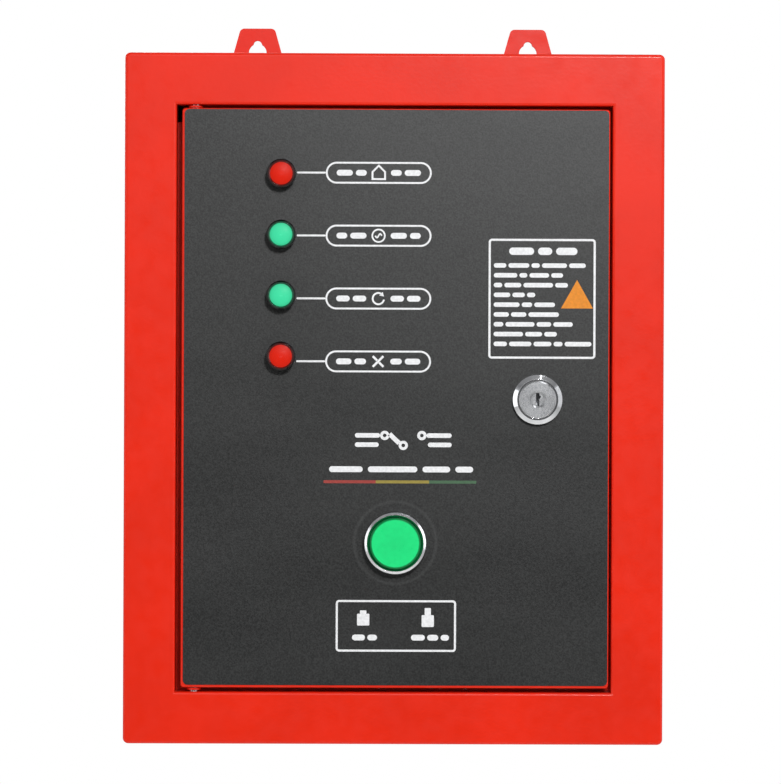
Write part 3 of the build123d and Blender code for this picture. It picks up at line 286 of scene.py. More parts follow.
def moulded(name, tint, gloss=0.5, grain=0.6):
    """Moulded plastic: spark-eroded grain, faint flow marks and softened edges."""
    f = Finish(name, tint, roughness=gloss)
    flow = f.noise(38, 4, f.stretch((1, 1, 2.4)))
    base = f.blend(f.span(flow, 0.3, 0.7), shaded(tint, 0.88), shaded(tint, 1.1))
    worn = f.math("MULTIPLY", f.edges(0.3 * MM), 0.22)
    f.put("Base Color", f.blend(worn, base, shaded(tint, 1.7)))
    f.roughen(160, 3, gloss * 0.85, gloss * 1.15)
    soft = f.soft_edges(0.3 * MM)
    f.put("Normal", f.relief(f.cells(2600, "SMOOTH_F1"), 0.03 * MM, soft, grain))
    return f.material


def scuff(f):
    """Gives a polished plastic fine swirl scratches."""
    scratch = f.noise(500, 2, f.stretch((1, 1, 12)))
    f.put("Roughness", f.span(scratch, 0.35, 0.75, 0.1, 0.22))
    f.put("Normal", f.relief(scratch, 0.004 * MM, f.soft_edges(0.25 * MM), 0.5))


def glossy_black():
    """Polished black plastic."""
    f = Finish("black_plastic", rgb(16, 16, 17), roughness=0.14, specular=0.5)
    f.put("Base Color", f.blend(f.noise(70, 3), rgb(10, 10, 11), rgb(26, 26, 28)))
    scuff(f)
    return f.material


def plated(name, tint, shine=0.3, flake=420):
    """Plated steel: a fine crystal pattern under drawn lines."""
    f = Finish(name, tint, roughness=shine, metallic=1.0)
    crystal = f.cells(flake, "F1", None, "Color")
    tone = f.node("ShaderNodeRGBToBW")
    f.feed(tone.inputs[0], crystal)
    patch = tone.outputs[0]
    drawn = f.noise(70, 3, f.stretch((1, 1, 22)))
    base = f.blend(f.span(patch, 0.1, 0.9), shaded(tint, 0.82), shaded(tint, 1.06))
    stain = f.span(f.noise(22, 5), 0.52, 0.72)
    f.put("Base Color", f.blend(f.math("MULTIPLY", stain, 0.25), base, shaded(tint, 0.6)))
    mixed = f.math("ADD", f.math("MULTIPLY", patch, 0.5), f.math("MULTIPLY", drawn, 0.5))
    f.put("Roughness", f.span(mixed, 0.2, 0.8, shine * 0.7, shine * 1.35))
    soft = f.soft_edges(0.2 * MM)
    f.put("Normal", f.relief(mixed, 0.006 * MM, soft, 0.5))
    return f.material


def plating(f, shine):
    """Gives a finish fine lathe lines, and returns the plating's smudged colour."""
    lines = f.noise(1500, 2, f.stretch((1, 9, 1)))
    f.put("Roughness", f.span(lines, 0.3, 0.7, shine * 0.75, shine * 1.3))
    f.put("Normal", f.relief(lines, 0.003 * MM, f.soft_edges(0.15 * MM), 0.5))
    smudge = f.span(f.noise(120, 4), 0.45, 0.7)
    return f.blend(smudge, rgb(232, 233, 236), rgb(205, 207, 211))


def chrome(name, shine):
    """Bright plating over a turned surface."""
    f = Finish(name, rgb(226, 227, 230), roughness=shine, metallic=1.0)
    f.put("Base Color", plating(f, shine))
    return f.material


def bezel_chrome():
    """The button's bezel: plated outside, with a dark green liner inside its crown."""
    middle = centre("button_bezel")
    liner_r = 13.0 * MM
    fade = 0.05 * MM
    shine = 0.2
    f = Finish("bezel_chrome", rgb(226, 227, 230), roughness=shine, metallic=1.0)
    plated_part = f.span(f.radius(middle.x, middle.z), liner_r - fade, liner_r + fade)
    f.put("Base Color", f.blend(plated_part, rgb(20, 112, 66), plating(f, shine)))
    f.put("Metallic", plated_part)
    return f.material


def turned_face(name, node):
    """Satin nickel with the rings that a lathe leaves round the node's axis."""
    middle = centre(node)
    f = Finish(name, rgb(176, 177, 180), roughness=0.26, metallic=1.0)
    reach = f.radius(middle.x, middle.z)
    feed = 0.42 * MM
    ring = f.math("SINE", f.math("MULTIPLY", reach, 2 * math.pi / feed))
    uneven = f.math("ADD", ring, f.math("MULTIPLY", f.noise(1400, 2), 1.2))
    tones = f.span(uneven, -1.0, 2.0)
    f.put("Base Color", f.blend(tones, rgb(138, 140, 144), rgb(206, 207, 209)))
    f.put("Roughness", f.span(uneven, -1.0, 2.0, 0.2, 0.36))
    f.put("Normal", f.relief(tones, 0.012 * MM, f.soft_edges(0.15 * MM), 0.7))
    return f.material


def rubber(name, tint):
    """Moulded rubber with a dusty bloom."""
    f = Finish(name, tint, roughness=0.68, specular=0.35)
    bloom = f.span(f.noise(85, 5), 0.42, 0.75)
    f.put("Base Color", f.blend(f.math("MULTIPLY", bloom, 0.5), tint, rgb(66, 66, 66)))
    f.put("Roughness", f.span(bloom, 0.0, 1.0, 0.58, 0.82))
    f.put("Normal", f.relief(f.noise(1900, 3), 0.03 * MM, f.soft_edges(0.3 * MM), 0.6))
    return f.material


def foam():
    """Foamed sealing strip: small open pores."""
    f = Finish("seal_foam", rgb(42, 42, 43), roughness=0.9, specular=0.2)
    pores = f.cells(1500)
    f.put("Base Color", f.blend(f.span(pores, 0.05, 0.5), rgb(22, 22, 22), rgb(62, 62, 63)))
    f.put("Roughness", f.span(pores, 0.0, 0.6, 0.95, 0.8))
    f.put("Normal", f.relief(pores, 0.12 * MM, None, 0.9))
    return f.material


def lens(name, node, core, rim, glow):
    """A pilot lamp's lens: a bright core, prism rings inside and a darker rim."""
    middle = centre(node)
    low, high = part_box(node)
    rim_r = (high[0] - low[0]) / 2
    f = Finish(name, core, roughness=0.4, specular=0.12)
    reach = f.math("DIVIDE", f.radius(middle.x, middle.z), rim_r)
    stops = [(0.0, shaded(core, 1.12)), (0.62, core), (0.86, shaded(core, 0.86)), (0.95, rim)]
    base = f.ramp(reach, stops)
    prisms = 7
    ring = f.math("SINE", f.math("MULTIPLY", reach, 2 * math.pi * prisms))
    speckle = f.math("ADD", ring, f.math("MULTIPLY", f.noise(2100, 2), 1.6))
    base = f.blend(f.span(speckle, -0.8, 2.4), shaded(core, 0.82), base)
    f.put("Base Color", f.blend(0.5, base, (0.0, 0.0, 0.0, 1.0)))
    f.put("Emission Color", base)
    f.put("Emission Strength", glow)
    f.put("Normal", f.relief(f.span(speckle, -1.0, 2.6), 0.01 * MM, None, 0.4))
    f.roughen(700, 2, 0.34, 0.46)
    return f.material


def lamp_shell(name, node, lens_node, glow_tint):
    """A lamp's black bezel, tinted next to its lens by the light that leaks into it."""
    middle = centre(node)
    low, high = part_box(lens_node)
    lens_r = (high[0] - low[0]) / 2
    f = Finish(name, rgb(10, 10, 11), roughness=0.14, specular=0.25)
    reach = f.math("DIVIDE", f.radius(middle.x, middle.z), lens_r)
    leak_depth = 2 * MM
    leak = f.span(reach, 1.0, 1.22, 1.0, 0.0)
    leak = f.math("MULTIPLY", leak, f.span(f.depth(), low[1], low[1] + leak_depth, 1.0, 0.0))
    base = f.blend(f.noise(70, 3), rgb(6, 6, 7), rgb(16, 16, 17))
    f.put("Base Color", f.blend(f.math("MULTIPLY", leak, 0.6), base, shaded(glow_tint, 0.32)))
    scuff(f)
    return f.material


def button_lens():
    """The push-button's cap: a bright mottled face and a dark green rim, which is the cap's green
    darkened as painted shade of the groove round the face.
    """
    middle = centre("button_cap")
    low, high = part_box("button_cap")
    cap_r = (high[0] - low[0]) / 2
    face = rgb(34, 214, 124)
    f = Finish("button_green", face, roughness=0.3, specular=0.15)
    reach = f.math("DIVIDE", f.radius(middle.x, middle.z), cap_r)
    # The rim colour and its darker stop at the edge are painted shade of the groove and bevel round
    # the face.
    rim = rgb(14, 130, 70)
    face_end = 0.9
    shade_rim_start = 0.935
    stops = [(0.0, face), (face_end, shaded(face, 1.1)), (shade_rim_start, rim), (0.98, shaded(rim, 0.6))]
    mottle = f.span(f.noise(330, 4), 0.3, 0.72, 0.0, 0.25)
    patches = f.ramp(reach, [(face_end, rgb(26, 190, 104)), (shade_rim_start, rim)], smooth=False)
    base = f.blend(mottle, f.ramp(reach, stops, smooth=False), patches)
    f.put("Base Color", base)
    f.put("Emission Color", base)
    f.put("Emission Strength", 0.08)
    f.roughen(500, 3, 0.26, 0.38)
    f.put("Normal", f.relief(f.noise(900, 3), 0.012 * MM, f.soft_edges(0.3 * MM), 0.5))
    return f.material


def clear_cover():
    """A relay's clear cover, with faint moulding haze."""
    f = Finish("relay_clear", rgb(214, 222, 226), roughness=0.1, specular=0.5)
    f.put("Transmission Weight", 0.9)
    f.put("IOR", 1.49)
    f.put("Roughness", f.span(f.noise(60, 4), 0.4, 0.75, 0.04, 0.2))
    f.put("Base Color", f.blend(f.noise(40, 3), rgb(204, 214, 218), rgb(228, 234, 236)))
    f.put("Normal", f.relief(f.noise(240, 2), 0.01 * MM, f.soft_edges(0.4 * MM), 0.5))
    return f.material


def circuit_board():
    """Solder mask over a grid of tracks, with pads and print."""
    f = Finish("board_green", rgb(14, 74, 40), roughness=0.32)
    grid = f.stretch((1 / pin_pitch, 1 / (40 * MM), 2 / pin_pitch))
    brick = f.cells(1.0, "DISTANCE_TO_EDGE", grid)
    track = f.span(brick, 0.03, 0.07, 1.0, 0.0)
    gate = f.span(f.noise(120, 2), 0.44, 0.52)
    track = f.math("MULTIPLY", track, gate)
    base = f.blend(track, rgb(12, 66, 36), rgb(30, 112, 62))
    pads = f.span(f.cells(390), 0.05, 0.12, 1.0, 0.0)
    pads = f.math("MULTIPLY", pads, f.span(f.noise(75, 2), 0.5, 0.55))
    base = f.blend(pads, base, rgb(196, 190, 160))
    f.put("Base Color", base)
    f.roughen(180, 2, 0.25, 0.4)
    f.put("Normal", f.relief(f.math("MAXIMUM", track, pads), 0.035 * MM, f.soft_edges(0.2 * MM), 0.8))
    return f.material


def wire_skin(name, tint):
    """Wire insulation: satin, with the ripple of the strands under it."""
    f = Finish(name, tint, roughness=0.36)
    f.put("Base Color", f.blend(f.noise(45, 4), shaded(tint, 0.82), shaded(tint, 1.15)))
    f.roughen(260, 3, 0.28, 0.46)
    ripple = f.noise(420, 2, f.stretch((1, 1, 0.35)))
    f.put("Normal", f.relief(ripple, 0.05 * MM, None, 0.5))
    return f.material


def paper(name):
    """A blank paper or foil label."""
    f = Finish(name, rgb(226, 226, 220), roughness=0.6)
    f.put("Base Color", f.blend(f.noise(160, 5), rgb(214, 213, 206), rgb(234, 234, 230)))
    f.roughen(900, 2, 0.52, 0.7)
    f.put("Normal", f.relief(f.noise(2500, 3), 0.01 * MM, None, 0.5))
    return f.material


def pale_floor():
    """A pale studio floor with a barely visible tooth."""
    f = Finish("studio_floor", rgb(244, 244, 242), roughness=0.8, specular=0.2)
    f.put("Base Color", f.blend(f.noise(3, 4), rgb(240, 240, 238), rgb(248, 248, 246)))
    f.put("Emission Color", rgb(248, 248, 246))
    f.put("Emission Strength", 0.2)
    f.put("Normal", f.relief(f.noise(300, 2), 0.2 * MM, None, 0.3))
    return f.material


lamp_glow = 0.45
red_lens_core = rgb(232, 36, 14)
red_lens_rim = rgb(206, 30, 14)
green_lens_core = rgb(70, 236, 174)
green_lens_rim = rgb(44, 196, 134)

finishes = {
    "red_paint": painted_steel(),
    "overlay": printed_film(),
    "seal_foam": foam(),
    "black_rubber": rubber("black_rubber", rgb(26, 26, 27)),
    "zinc_steel": plated("zinc_steel", rgb(196, 199, 203)),
    "chrome": chrome("chrome", 0.2),
    "brass": plated("brass", rgb(214, 180, 106), 0.28, 700),
    "black_plastic": glossy_black(),
    "grey_plastic": moulded("grey_plastic", rgb(150, 153, 155)),
    "dark_plastic": moulded("dark_plastic", rgb(44, 46, 50)),
    "white_plastic": moulded("white_plastic", rgb(222, 222, 217), 0.42),
    "relay_clear": clear_cover(),
    "button_green": button_lens(),
    "blue_plastic": moulded("blue_plastic", rgb(32, 84, 168), 0.34),
    "board_green": circuit_board(),
    "aluminium": plated("aluminium", rgb(206, 208, 211), 0.36, 1500),
    "wire_brown": wire_skin("wire_brown", rgb(104, 58, 34)),
    "wire_blue": wire_skin("wire_blue", rgb(34, 84, 178)),
    "wire_red": wire_skin("wire_red", rgb(186, 34, 26)),
}
terminal_green = moulded("terminal_green", rgb(52, 138, 74), 0.4)
ink_white = ink("ink_white", rgb(240, 241, 243))
ink_orange = ink("ink_orange", rgb(232, 142, 36))
ink_red = ink("ink_red", rgb(160, 62, 55))
ink_yellow = ink("ink_yellow", rgb(154, 138, 62))
ink_green = ink("ink_green", rgb(72, 106, 78))
label_paper = paper("label_paper")
led_red = moulded("led_red", rgb(214, 40, 26), 0.2, 0.2)
led_green = moulded("led_green", rgb(60, 196, 92), 0.2, 0.2)
resistor_tan = moulded("resistor_tan", rgb(196, 168, 122), 0.45, 0.3)


def dress(node, material):
    """Puts a finish on a CAD node."""
    slots = nodes[node].data.materials
    slots.clear()
    slots.append(material)


for node_name in nodes:
    if slot_of[node_name] in finishes:
        dress(node_name, finishes[slot_of[node_name]])
for lamp, core, rim in (
    ("mains", red_lens_core, red_lens_rim),
    ("generator", green_lens_core, green_lens_rim),
    ("auto", green_lens_core, green_lens_rim),
    ("fault", red_lens_core, red_lens_rim),
):
    lens_node = f"{lamp}_lamp_lens"
    dress(lens_node, lens(f"{lamp}_lens", lens_node, core, rim, lamp_glow))
    body_node = f"{lamp}_lamp_body"
    dress(body_node, lamp_shell(f"{lamp}_shell", body_node, lens_node, core))
dress("lock_plug", turned_face("lock_face", "lock_plug"))
dress("lock_barrel", chrome("lock_chrome", 0.09))
dress("button_bezel", bezel_chrome())
dress("board_terminals", terminal_green)

# ---------------------------------------------------------------- shapes


sharp_angle = math.radians(38)
tiny = 0.001 * MM


def piece(name, bm, body, material):
    """Makes a mesh object of a bmesh, and lets it ride on a body."""
    bmesh.ops.recalc_face_normals(bm, faces=bm.faces)
    mesh = bpy.data.meshes.new(name)
    bm.to_mesh(mesh)
    bm.free()
    mesh.shade_smooth()
    mesh.set_sharp_from_angle(angle=sharp_angle)
    made = bpy.data.objects.new(name, mesh)
    bpy.context.scene.collection.objects.link(made)
    mesh.materials.append(material)
    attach(made, body)
    return made


def loft(bm, rings):
    """A closed skin over rings of as many points each, with flat ends."""
    for lower, upper in zip(rings, rings[1:]):
        for i in range(len(lower)):
            j = (i + 1) % len(lower)
            bm.faces.new((lower[i], lower[j], upper[j], upper[i]))
    bm.faces.new(rings[0][::-1])
    bm.faces.new(rings[-1])


def prism(bm, outline, near, far):
    """A closed prism of an (x, z) outline between two depths."""
    loft(bm, [[bm.verts.new((x, y, z)) for x, z in outline] for y in (near, far)])


def band(bm, outer, inner, near, far):
    """A closed ring between two (x, z) outlines that have as many points."""
    loops = []
    for y in (near, far):
        for outline in (outer, inner):
            loops.append([bm.verts.new((x, y, z)) for x, z in outline])
    outer_near, inner_near, outer_far, inner_far = loops
    for i in range(len(outer)):
        j = (i + 1) % len(outer)
        bm.faces.new((outer_near[i], outer_near[j], inner_near[j], inner_near[i]))
        bm.faces.new((outer_far[j], outer_far[i], inner_far[i], inner_far[j]))
        bm.faces.new((outer_near[j], outer_near[i], outer_far[i], outer_far[j]))
        bm.faces.new((inner_near[i], inner_near[j], inner_far[j], inner_far[i]))


def arc(x, z, r, start, end, steps=10):
    """Points on an arc, from one angle to another in degrees."""
    turns = [math.radians(start + (end - start) * i / steps) for i in range(steps + 1)]
    return [(x + r * math.cos(turn), z + r * math.sin(turn)) for turn in turns]


def tidy(points):
    """The points of a closed outline, without those that repeat."""
    kept = []
    for i, point in enumerate(points):
        if math.dist(point, points[i - 1]) > tiny:
            kept.append(point)
    return kept


def rounded(x, z, w, h, r):
    """A rounded rectangle about (x, z)."""
    dx = w / 2 - r
    dz = h / 2 - r
    points = arc(x + dx, z + dz, r, 0, 90)
    points += arc(x - dx, z + dz, r, 90, 180)
    points += arc(x - dx, z - dz, r, 180, 270)
    points += arc(x + dx, z - dz, r, 270, 360)
    return tidy(points)


def stroke(points, width, closed=False):
    """The two sides of a line of that width along (x, z) points."""
    left = []
    right = []
    count = len(points)
    for i, (x, z) in enumerate(points):
        ways = []
        if closed or i > 0:
            ways.append(Vector((x - points[i - 1][0], z - points[i - 1][1])).normalized())
        if closed or i < count - 1:
            after = points[(i + 1) % count]
            ways.append(Vector((after[0] - x, after[1] - z)).normalized())
        along = sum(ways, Vector((0, 0))).normalized()
        across = Vector((-along.y, along.x))
        reach = width / 2 / max(0.4, along.dot(ways[0]))
        left.append((x + across.x * reach, z + across.y * reach))
        right.append((x - across.x * reach, z - across.y * reach))
    return left, right


# ---------------------------------------------------------------- printed marks

# Nothing here is lettering: words are stood for by plain bars, and names by symbols.

film_front = front("door_overlay")
film_mid = centre("door_overlay")
ink_near = film_front - 0.05 * MM
ink_far = film_front + 0.02 * MM
line_w = 0.85 * MM


class Print:
    """One colour of print on the door's film."""

    def __init__(self):
        self.bm = bmesh.new()

    def fill(self, outline):
        prism(self.bm, outline, ink_near, ink_far)

    def frame(self, x, z, w, h, r, line=line_w):
        outer = rounded(x, z, w, h, r)
        inner = rounded(x, z, w - 2 * line, h - 2 * line, r - line)
        band(self.bm, outer, inner, ink_near, ink_far)

    def bar(self, x_low, x_high, z, h):
        middle = (x_low + x_high) / 2
        self.fill(rounded(middle, z, x_high - x_low, h, h / 2))

    def line(self, points, width=line_w, closed=False):
        left, right = stroke(points, width, closed)
        if closed:
            band(self.bm, left, right, ink_near, ink_far)
        else:
            self.fill(left + right[::-1])

    def ring(self, x, z, r, width=line_w):
        self.line(arc(x, z, r, 0, 360, 36)[:-1], width, closed=True)

    def words(self, x_low, x_high, z, h, shares, gap):
        """A row of bars whose lengths share out what the gaps leave."""
        room = x_high - x_low - gap * (len(shares) - 1)
        at = x_low
        for share in shares:
            length = room * share / sum(shares)
            self.bar(at, at + length, z, h)
            at += length + gap

    def done(self, name, material):
        return piece(name, self.bm, "door", material)


# Pill-shaped fields beside the lamps, each with a symbol between two bars.
pill_x = film_mid.x - 8.4 * MM
pill_top = film_mid.z + 104.0 * MM
pill_pitch = 29.1 * MM
pill_w = 49.0 * MM
pill_h = 10.1 * MM
leader_low = centre("mains_lamp_lens").x + 7.1 * MM
leader_high = pill_x - pill_w / 2
leader_w = 0.9 * MM
symbol_r = 2.9 * MM
word_h = 2.7 * MM
word_gap = 1.4 * MM
word_near = 5.6 * MM
word_far = 19.5 * MM
pill_words = ((3, 2), (2, 3), (1, 1), (4, 3))


def house(mark, x, z):
    r = symbol_r
    eave = z + 0.15 * r
    walls = [(x - r, z - r), (x + r, z - r), (x + r, eave), (x, z + 1.15 * r), (x - r, eave)]
    mark.line(walls, closed=True)


def sine_in_circle(mark, x, z):
    wave_half = 1.5 * MM
    wave_rise = 0.9 * MM
    wave_steps = 16
    mark.ring(x, z, symbol_r, 0.75 * MM)
    wave = []
    for i in range(wave_steps + 1):
        share = 2 * i / wave_steps - 1
        wave.append((x + share * wave_half, z + math.sin(share * math.pi) * wave_rise))
    mark.line(wave, 0.7 * MM)


def loop_arrow(mark, x, z):
    r = symbol_r * 0.9
    head_half = 1.15 * MM
    head_length = 1.9 * MM
    mark.line(arc(x, z, r, 60, 350, 28))
    start = Vector(arc(x, z, r, 62, 62, 1)[0])
    along = (Vector(arc(x, z, r, 30, 30, 1)[0]) - start).normalized()
    side = Vector((-along.y, along.x)) * head_half
    mark.fill([start + side, start - side, start + along * head_length])


def cross(mark, x, z):
    r = symbol_r * 0.85
    width = 1.05 * MM
    near = 0.45 * MM
    mark.line([(x - r, z - r), (x + r, z + r)], width)
    mark.line([(x - r, z + r), (x - near, z + near)], width)
    mark.line([(x + near, z - near), (x + r, z - r)], width)


white = Print()
for row, symbol in enumerate((house, sine_in_circle, loop_arrow, cross)):
    z = pill_top - row * pill_pitch
    white.frame(pill_x, z, pill_w, pill_h, pill_h / 2)
    white.bar(leader_low, leader_high, z, leader_w)
    symbol(white, pill_x, z)
    shares = pill_words[row]
    white.words(pill_x - word_far, pill_x - word_near, z, word_h, shares, word_gap)
    white.words(pill_x + word_near, pill_x + word_far, z, word_h, shares[::-1], word_gap)

# The title: the symbol of a changeover switch, over a row of bars.
title_x = film_mid.x + 3.4 * MM
title_z = film_mid.z - 19.8 * MM
title_w = 44.8 * MM
title_rise = 2.3 * MM
contact_dx = 8.6 * MM
contact_r = 1.5 * MM
contact_line = 1.3 * MM
thick = 2.1 * MM
short_bar = 11 * MM
short_z = title_z - 2.0 * MM
rail_z = title_z + title_rise
for sign in (-1, 1):
    end = title_x + sign * title_w / 2
    contact_x = title_x + sign * contact_dx
    white.ring(contact_x, rail_z, contact_r, contact_line)
    start = contact_x + sign * (contact_r + contact_line / 2)
    white.bar(min(start, end), max(start, end), rail_z, thick)
    inner = end - sign * short_bar
    white.bar(min(end, inner), max(end, inner), short_z, thick)
pivot_z = title_z - title_rise
white.ring(title_x, pivot_z, contact_r, contact_line)
lever_end = (title_x - contact_dx + 2.2 * MM, rail_z + 0.7 * MM)
lever_start = (title_x - 1.9 * MM, pivot_z + 1.0 * MM)
white.line([lever_start, lever_end], thick)
name_low = film_mid.x - 30.9 * MM
name_high = film_mid.x + 35.8 * MM
name_z = film_mid.z - 33.2 * MM
white.words(name_low, name_high, name_z, word_h, (17, 25, 14, 9), 2.4 * MM)

# The notice: a framed block with a heading, rows of bars and a triangle.
notice_x = film_mid.x + 67.4 * MM
notice_z = film_mid.z + 46.0 * MM
notice_w = 49.6 * MM
notice_h = 55.5 * MM
notice_left = notice_x - 22.4 * MM
notice_right = notice_x + 23.4 * MM
notice_top = notice_z + 15.4 * MM
notice_pitch = 4.54 * MM
notice_word_h = 2.1 * MM
notice_gap = 1.0 * MM
heading_low = notice_x - 15.3 * MM
heading_high = notice_x + 16.3 * MM
heading_z = notice_z + 22.0 * MM
heading_h = 3.4 * MM
field_corner = 1.6 * MM
white.frame(notice_x, notice_z, notice_w, notice_h, field_corner, 1.0 * MM)
white.words(heading_low, heading_high, heading_z, heading_h, (7, 4, 6), 1.8 * MM)
notice_rows = (
    (0.93, (3, 5, 2, 6, 4)),
    (0.7, (6, 2, 5, 3)),
    (0.75, (2, 4, 7, 3)),
    (0.42, (4, 3, 2)),
    (0.62, (5, 2, 4)),
    (0.66, (3, 3, 6)),
    (0.8, (2, 6, 3, 4)),
    (0.64, (7, 4, 3)),
    (0.99, (3, 5, 4, 2, 6)),
)
for row, (share, lengths) in enumerate(notice_rows):
    row_end = notice_left + share * (notice_right - notice_left)
    word_z = notice_top - row * notice_pitch
    white.words(notice_left, row_end, word_z, notice_word_h, lengths, notice_gap)

# The mode field under the button: a low and a raised knob, each over a bar.
mode_x = film_mid.x + 0.3 * MM
mode_z = film_mid.z - 105.7 * MM
mode_w = 55.7 * MM
mode_h = 23.9 * MM
mode_word_z = mode_z - 5.4 * MM
mode_gap = 1.1 * MM
knob_w = 5.7 * MM
knob_h = 5.5 * MM
white.frame(mode_x, mode_z, mode_w, mode_h, field_corner, 0.95 * MM)
for knob_x, knob_z, stub_w, stub_h in (
    (mode_x - 15.15 * MM, mode_z + 2.9 * MM, 3.0 * MM, 1.5 * MM),
    (mode_x + 14.75 * MM, mode_z + 2.3 * MM, 2.9 * MM, 3.3 * MM),
):
    white.fill(rounded(knob_x, knob_z, knob_w, knob_h, 0.5 * MM))
    stub_z = knob_z + (knob_h + stub_h) / 2
    white.fill(rounded(knob_x, stub_z, stub_w, stub_h, 0.3 * MM))
left_word = (mode_x - 20.3 * MM, mode_x - 8.7 * MM)
right_word = (mode_x + 7.0 * MM, mode_x + 24.6 * MM)
white.words(*left_word, mode_word_z, word_h, (4, 3), mode_gap)
white.words(*right_word, mode_word_z, word_h, (5, 4, 3), mode_gap)
white.done("door_print", ink_white)

triangle_print = Print()
triangle_x = notice_x + 16.2 * MM
triangle_low = notice_z - 4.4 * MM
triangle_h = 13.2 * MM
triangle_half = 7.4 * MM
corners = [
    (triangle_x - triangle_half, triangle_low),
    (triangle_x + triangle_half, triangle_low),
    (triangle_x, triangle_low + triangle_h),
]
triangle_print.fill(corners)
triangle_print.done("notice_triangle", ink_orange)

# The coloured line under the title.
line_z = film_mid.z - 39.0 * MM
line_h = 1.4 * MM
stripe_ends = [film_mid.x + end * MM for end in (-33.4, -9.3, 15.4, 37.3)]
stripes = (("stripe_red", ink_red), ("stripe_yellow", ink_yellow), ("stripe_green", ink_green))
for (name, material), x_low, x_high in zip(stripes, stripe_ends, stripe_ends[1:]):
    stripe = Print()
    stripe.fill(rounded((x_low + x_high) / 2, line_z, x_high - x_low, line_h, 0.2 * MM))
    stripe.done(name, material)

# ---------------------------------------------------------------- a dark band of painted shade on the door's rim

# A dark band round the film, over most of the door's painted rim: painted shade standing in for the
# shade on the door's bent rim.
shade_band_w = 1.0 * MM
film_low, film_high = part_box("door_overlay")
film_w = film_high[0] - film_low[0]
film_h = film_high[2] - film_low[2]
film_corner = 1.2 * MM
shade_band_lap = 0.4 * MM
shade_band_rise = 0.02 * MM
bm = bmesh.new()
outer_w = film_w + 2 * shade_band_w
outer_h = film_h + 2 * shade_band_w
band(
    bm,
    rounded(film_mid.x, film_mid.z, outer_w, outer_h, film_corner + shade_band_w),
    rounded(film_mid.x, film_mid.z, film_w - shade_band_lap, film_h - shade_band_lap, film_corner),
    film_front - shade_band_rise,
    front("door_panel") - shade_band_rise,
)
piece("rim_shade_band", bm, "door", finishes["overlay"])

# ---------------------------------------------------------------- button spring

# The spring is made again as a piece, so that it can shorten as the button goes in.
spring_low, spring_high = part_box("button_spring")
spring_mid = centre("button_spring")
spring_wire_r = 0.5 * MM
spring_turns = 4
spring_coil_r = (spring_high[0] - spring_low[0]) / 2 - spring_wire_r
spring_span = spring_high[1] - spring_low[1]
turn_steps = 28
wire_sides = 10
steps = spring_turns * turn_steps
rise = (spring_span - 2 * spring_wire_r) / steps
climb = rise * turn_steps / (2 * math.pi * spring_coil_r)
bm = bmesh.new()
rings = []
for i in range(steps + 1):
    turn = 2 * math.pi * i / turn_steps
    out = Vector((math.cos(turn), 0, math.sin(turn)))
    along = Vector((-math.sin(turn), -climb, math.cos(turn)))
    across = along.normalized().cross(out)
    middle = Vector((spring_mid.x, spring_high[1] - spring_wire_r - rise * i, spring_mid.z))
    middle += out * spring_coil_r
    ring = []
    for side in range(wire_sides):
        lean = 2 * math.pi * side / wire_sides
        offset = out * math.cos(lean) + across * math.sin(lean)
        ring.append(bm.verts.new(middle + offset * spring_wire_r))
    rings.append(ring)
loft(bm, rings)
coil = piece("spring_coil", bm, "door", finishes["zinc_steel"])
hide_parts("button_spring")
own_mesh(coil)

# ---------------------------------------------------------------- board parts


def turned(bm, profile, place, sides=20):
    """A closed turned solid of (radius, reach) points.

    place brings (across, reach, up) to x, y, z.
    """
    rings = []
    for r, reach in profile:
        if r < tiny:
            rings.append([bm.verts.new(place(0.0, reach, 0.0))])
            continue
        ring = []
        for i in range(sides):
            turn = 2 * math.pi * i / sides
            ring.append(bm.verts.new(place(r * math.cos(turn), reach, r * math.sin(turn))))
        rings.append(ring)
    for lower, upper in zip(rings, rings[1:]):
        for i in range(sides):
            j = (i + 1) % sides
            corners = [lower[i % len(lower)], lower[j % len(lower)]]
            corners += [upper[j % len(upper)], upper[i % len(upper)]]
            bm.faces.new(list(dict.fromkeys(corners)))


def outward(x, y, z):
    """A place for turned parts that stand out towards the door."""
    return lambda across, reach, up: (x + across, y - reach, z + up)


def sideways(x, y, z):
    """A place for turned parts that lie along x."""
    return lambda across, reach, up: (x + reach, y + across, z + up)


def tablet(bm, x, z, w, h, r, far, near, bevel):
    """A rounded block from one depth to a nearer one, with a bevel round its front."""
    rings = []
    for y, inset in ((far, 0.0), (near + bevel, 0.0), (near, bevel)):
        outline = rounded(x, z, w - 2 * inset, h - 2 * inset, r)
        rings.append([bm.verts.new((px, y, pz)) for px, pz in outline])
    loft(bm, rings)


def sticker(bm, x, z, w, h, y):
    """A thin label on a front at depth y."""
    tablet(bm, x, z, w, h, 0.6 * MM, y + 0.02 * MM, y - 0.12 * MM, 0.05 * MM)


board_mid = centre("control_board")
board_y = front("control_board")
board_low, board_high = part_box("control_board")
strip_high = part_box("board_terminals")[1]
relays_low, relays_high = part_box("board_relays")
screw_inset = 4.0 * MM

bm = bmesh.new()
head_r = 2.9 * MM
head_h = 1.9 * MM
head = [(0, 0), (head_r, 0), (head_r, 0.45 * head_h), (0.72 * head_r, 0.9 * head_h)]
head += [(0.4 * head_r, head_h), (0.36 * head_r, 0.4 * head_h), (0, 0.3 * head_h)]
for x in (board_low[0] + screw_inset, board_high[0] - screw_inset):
    for z in (board_low[2] + screw_inset, board_high[2] - screw_inset):
        turned(bm, head, outward(x, board_y, z), 24)
piece("board_screws", bm, "enclosure", finishes["zinc_steel"])

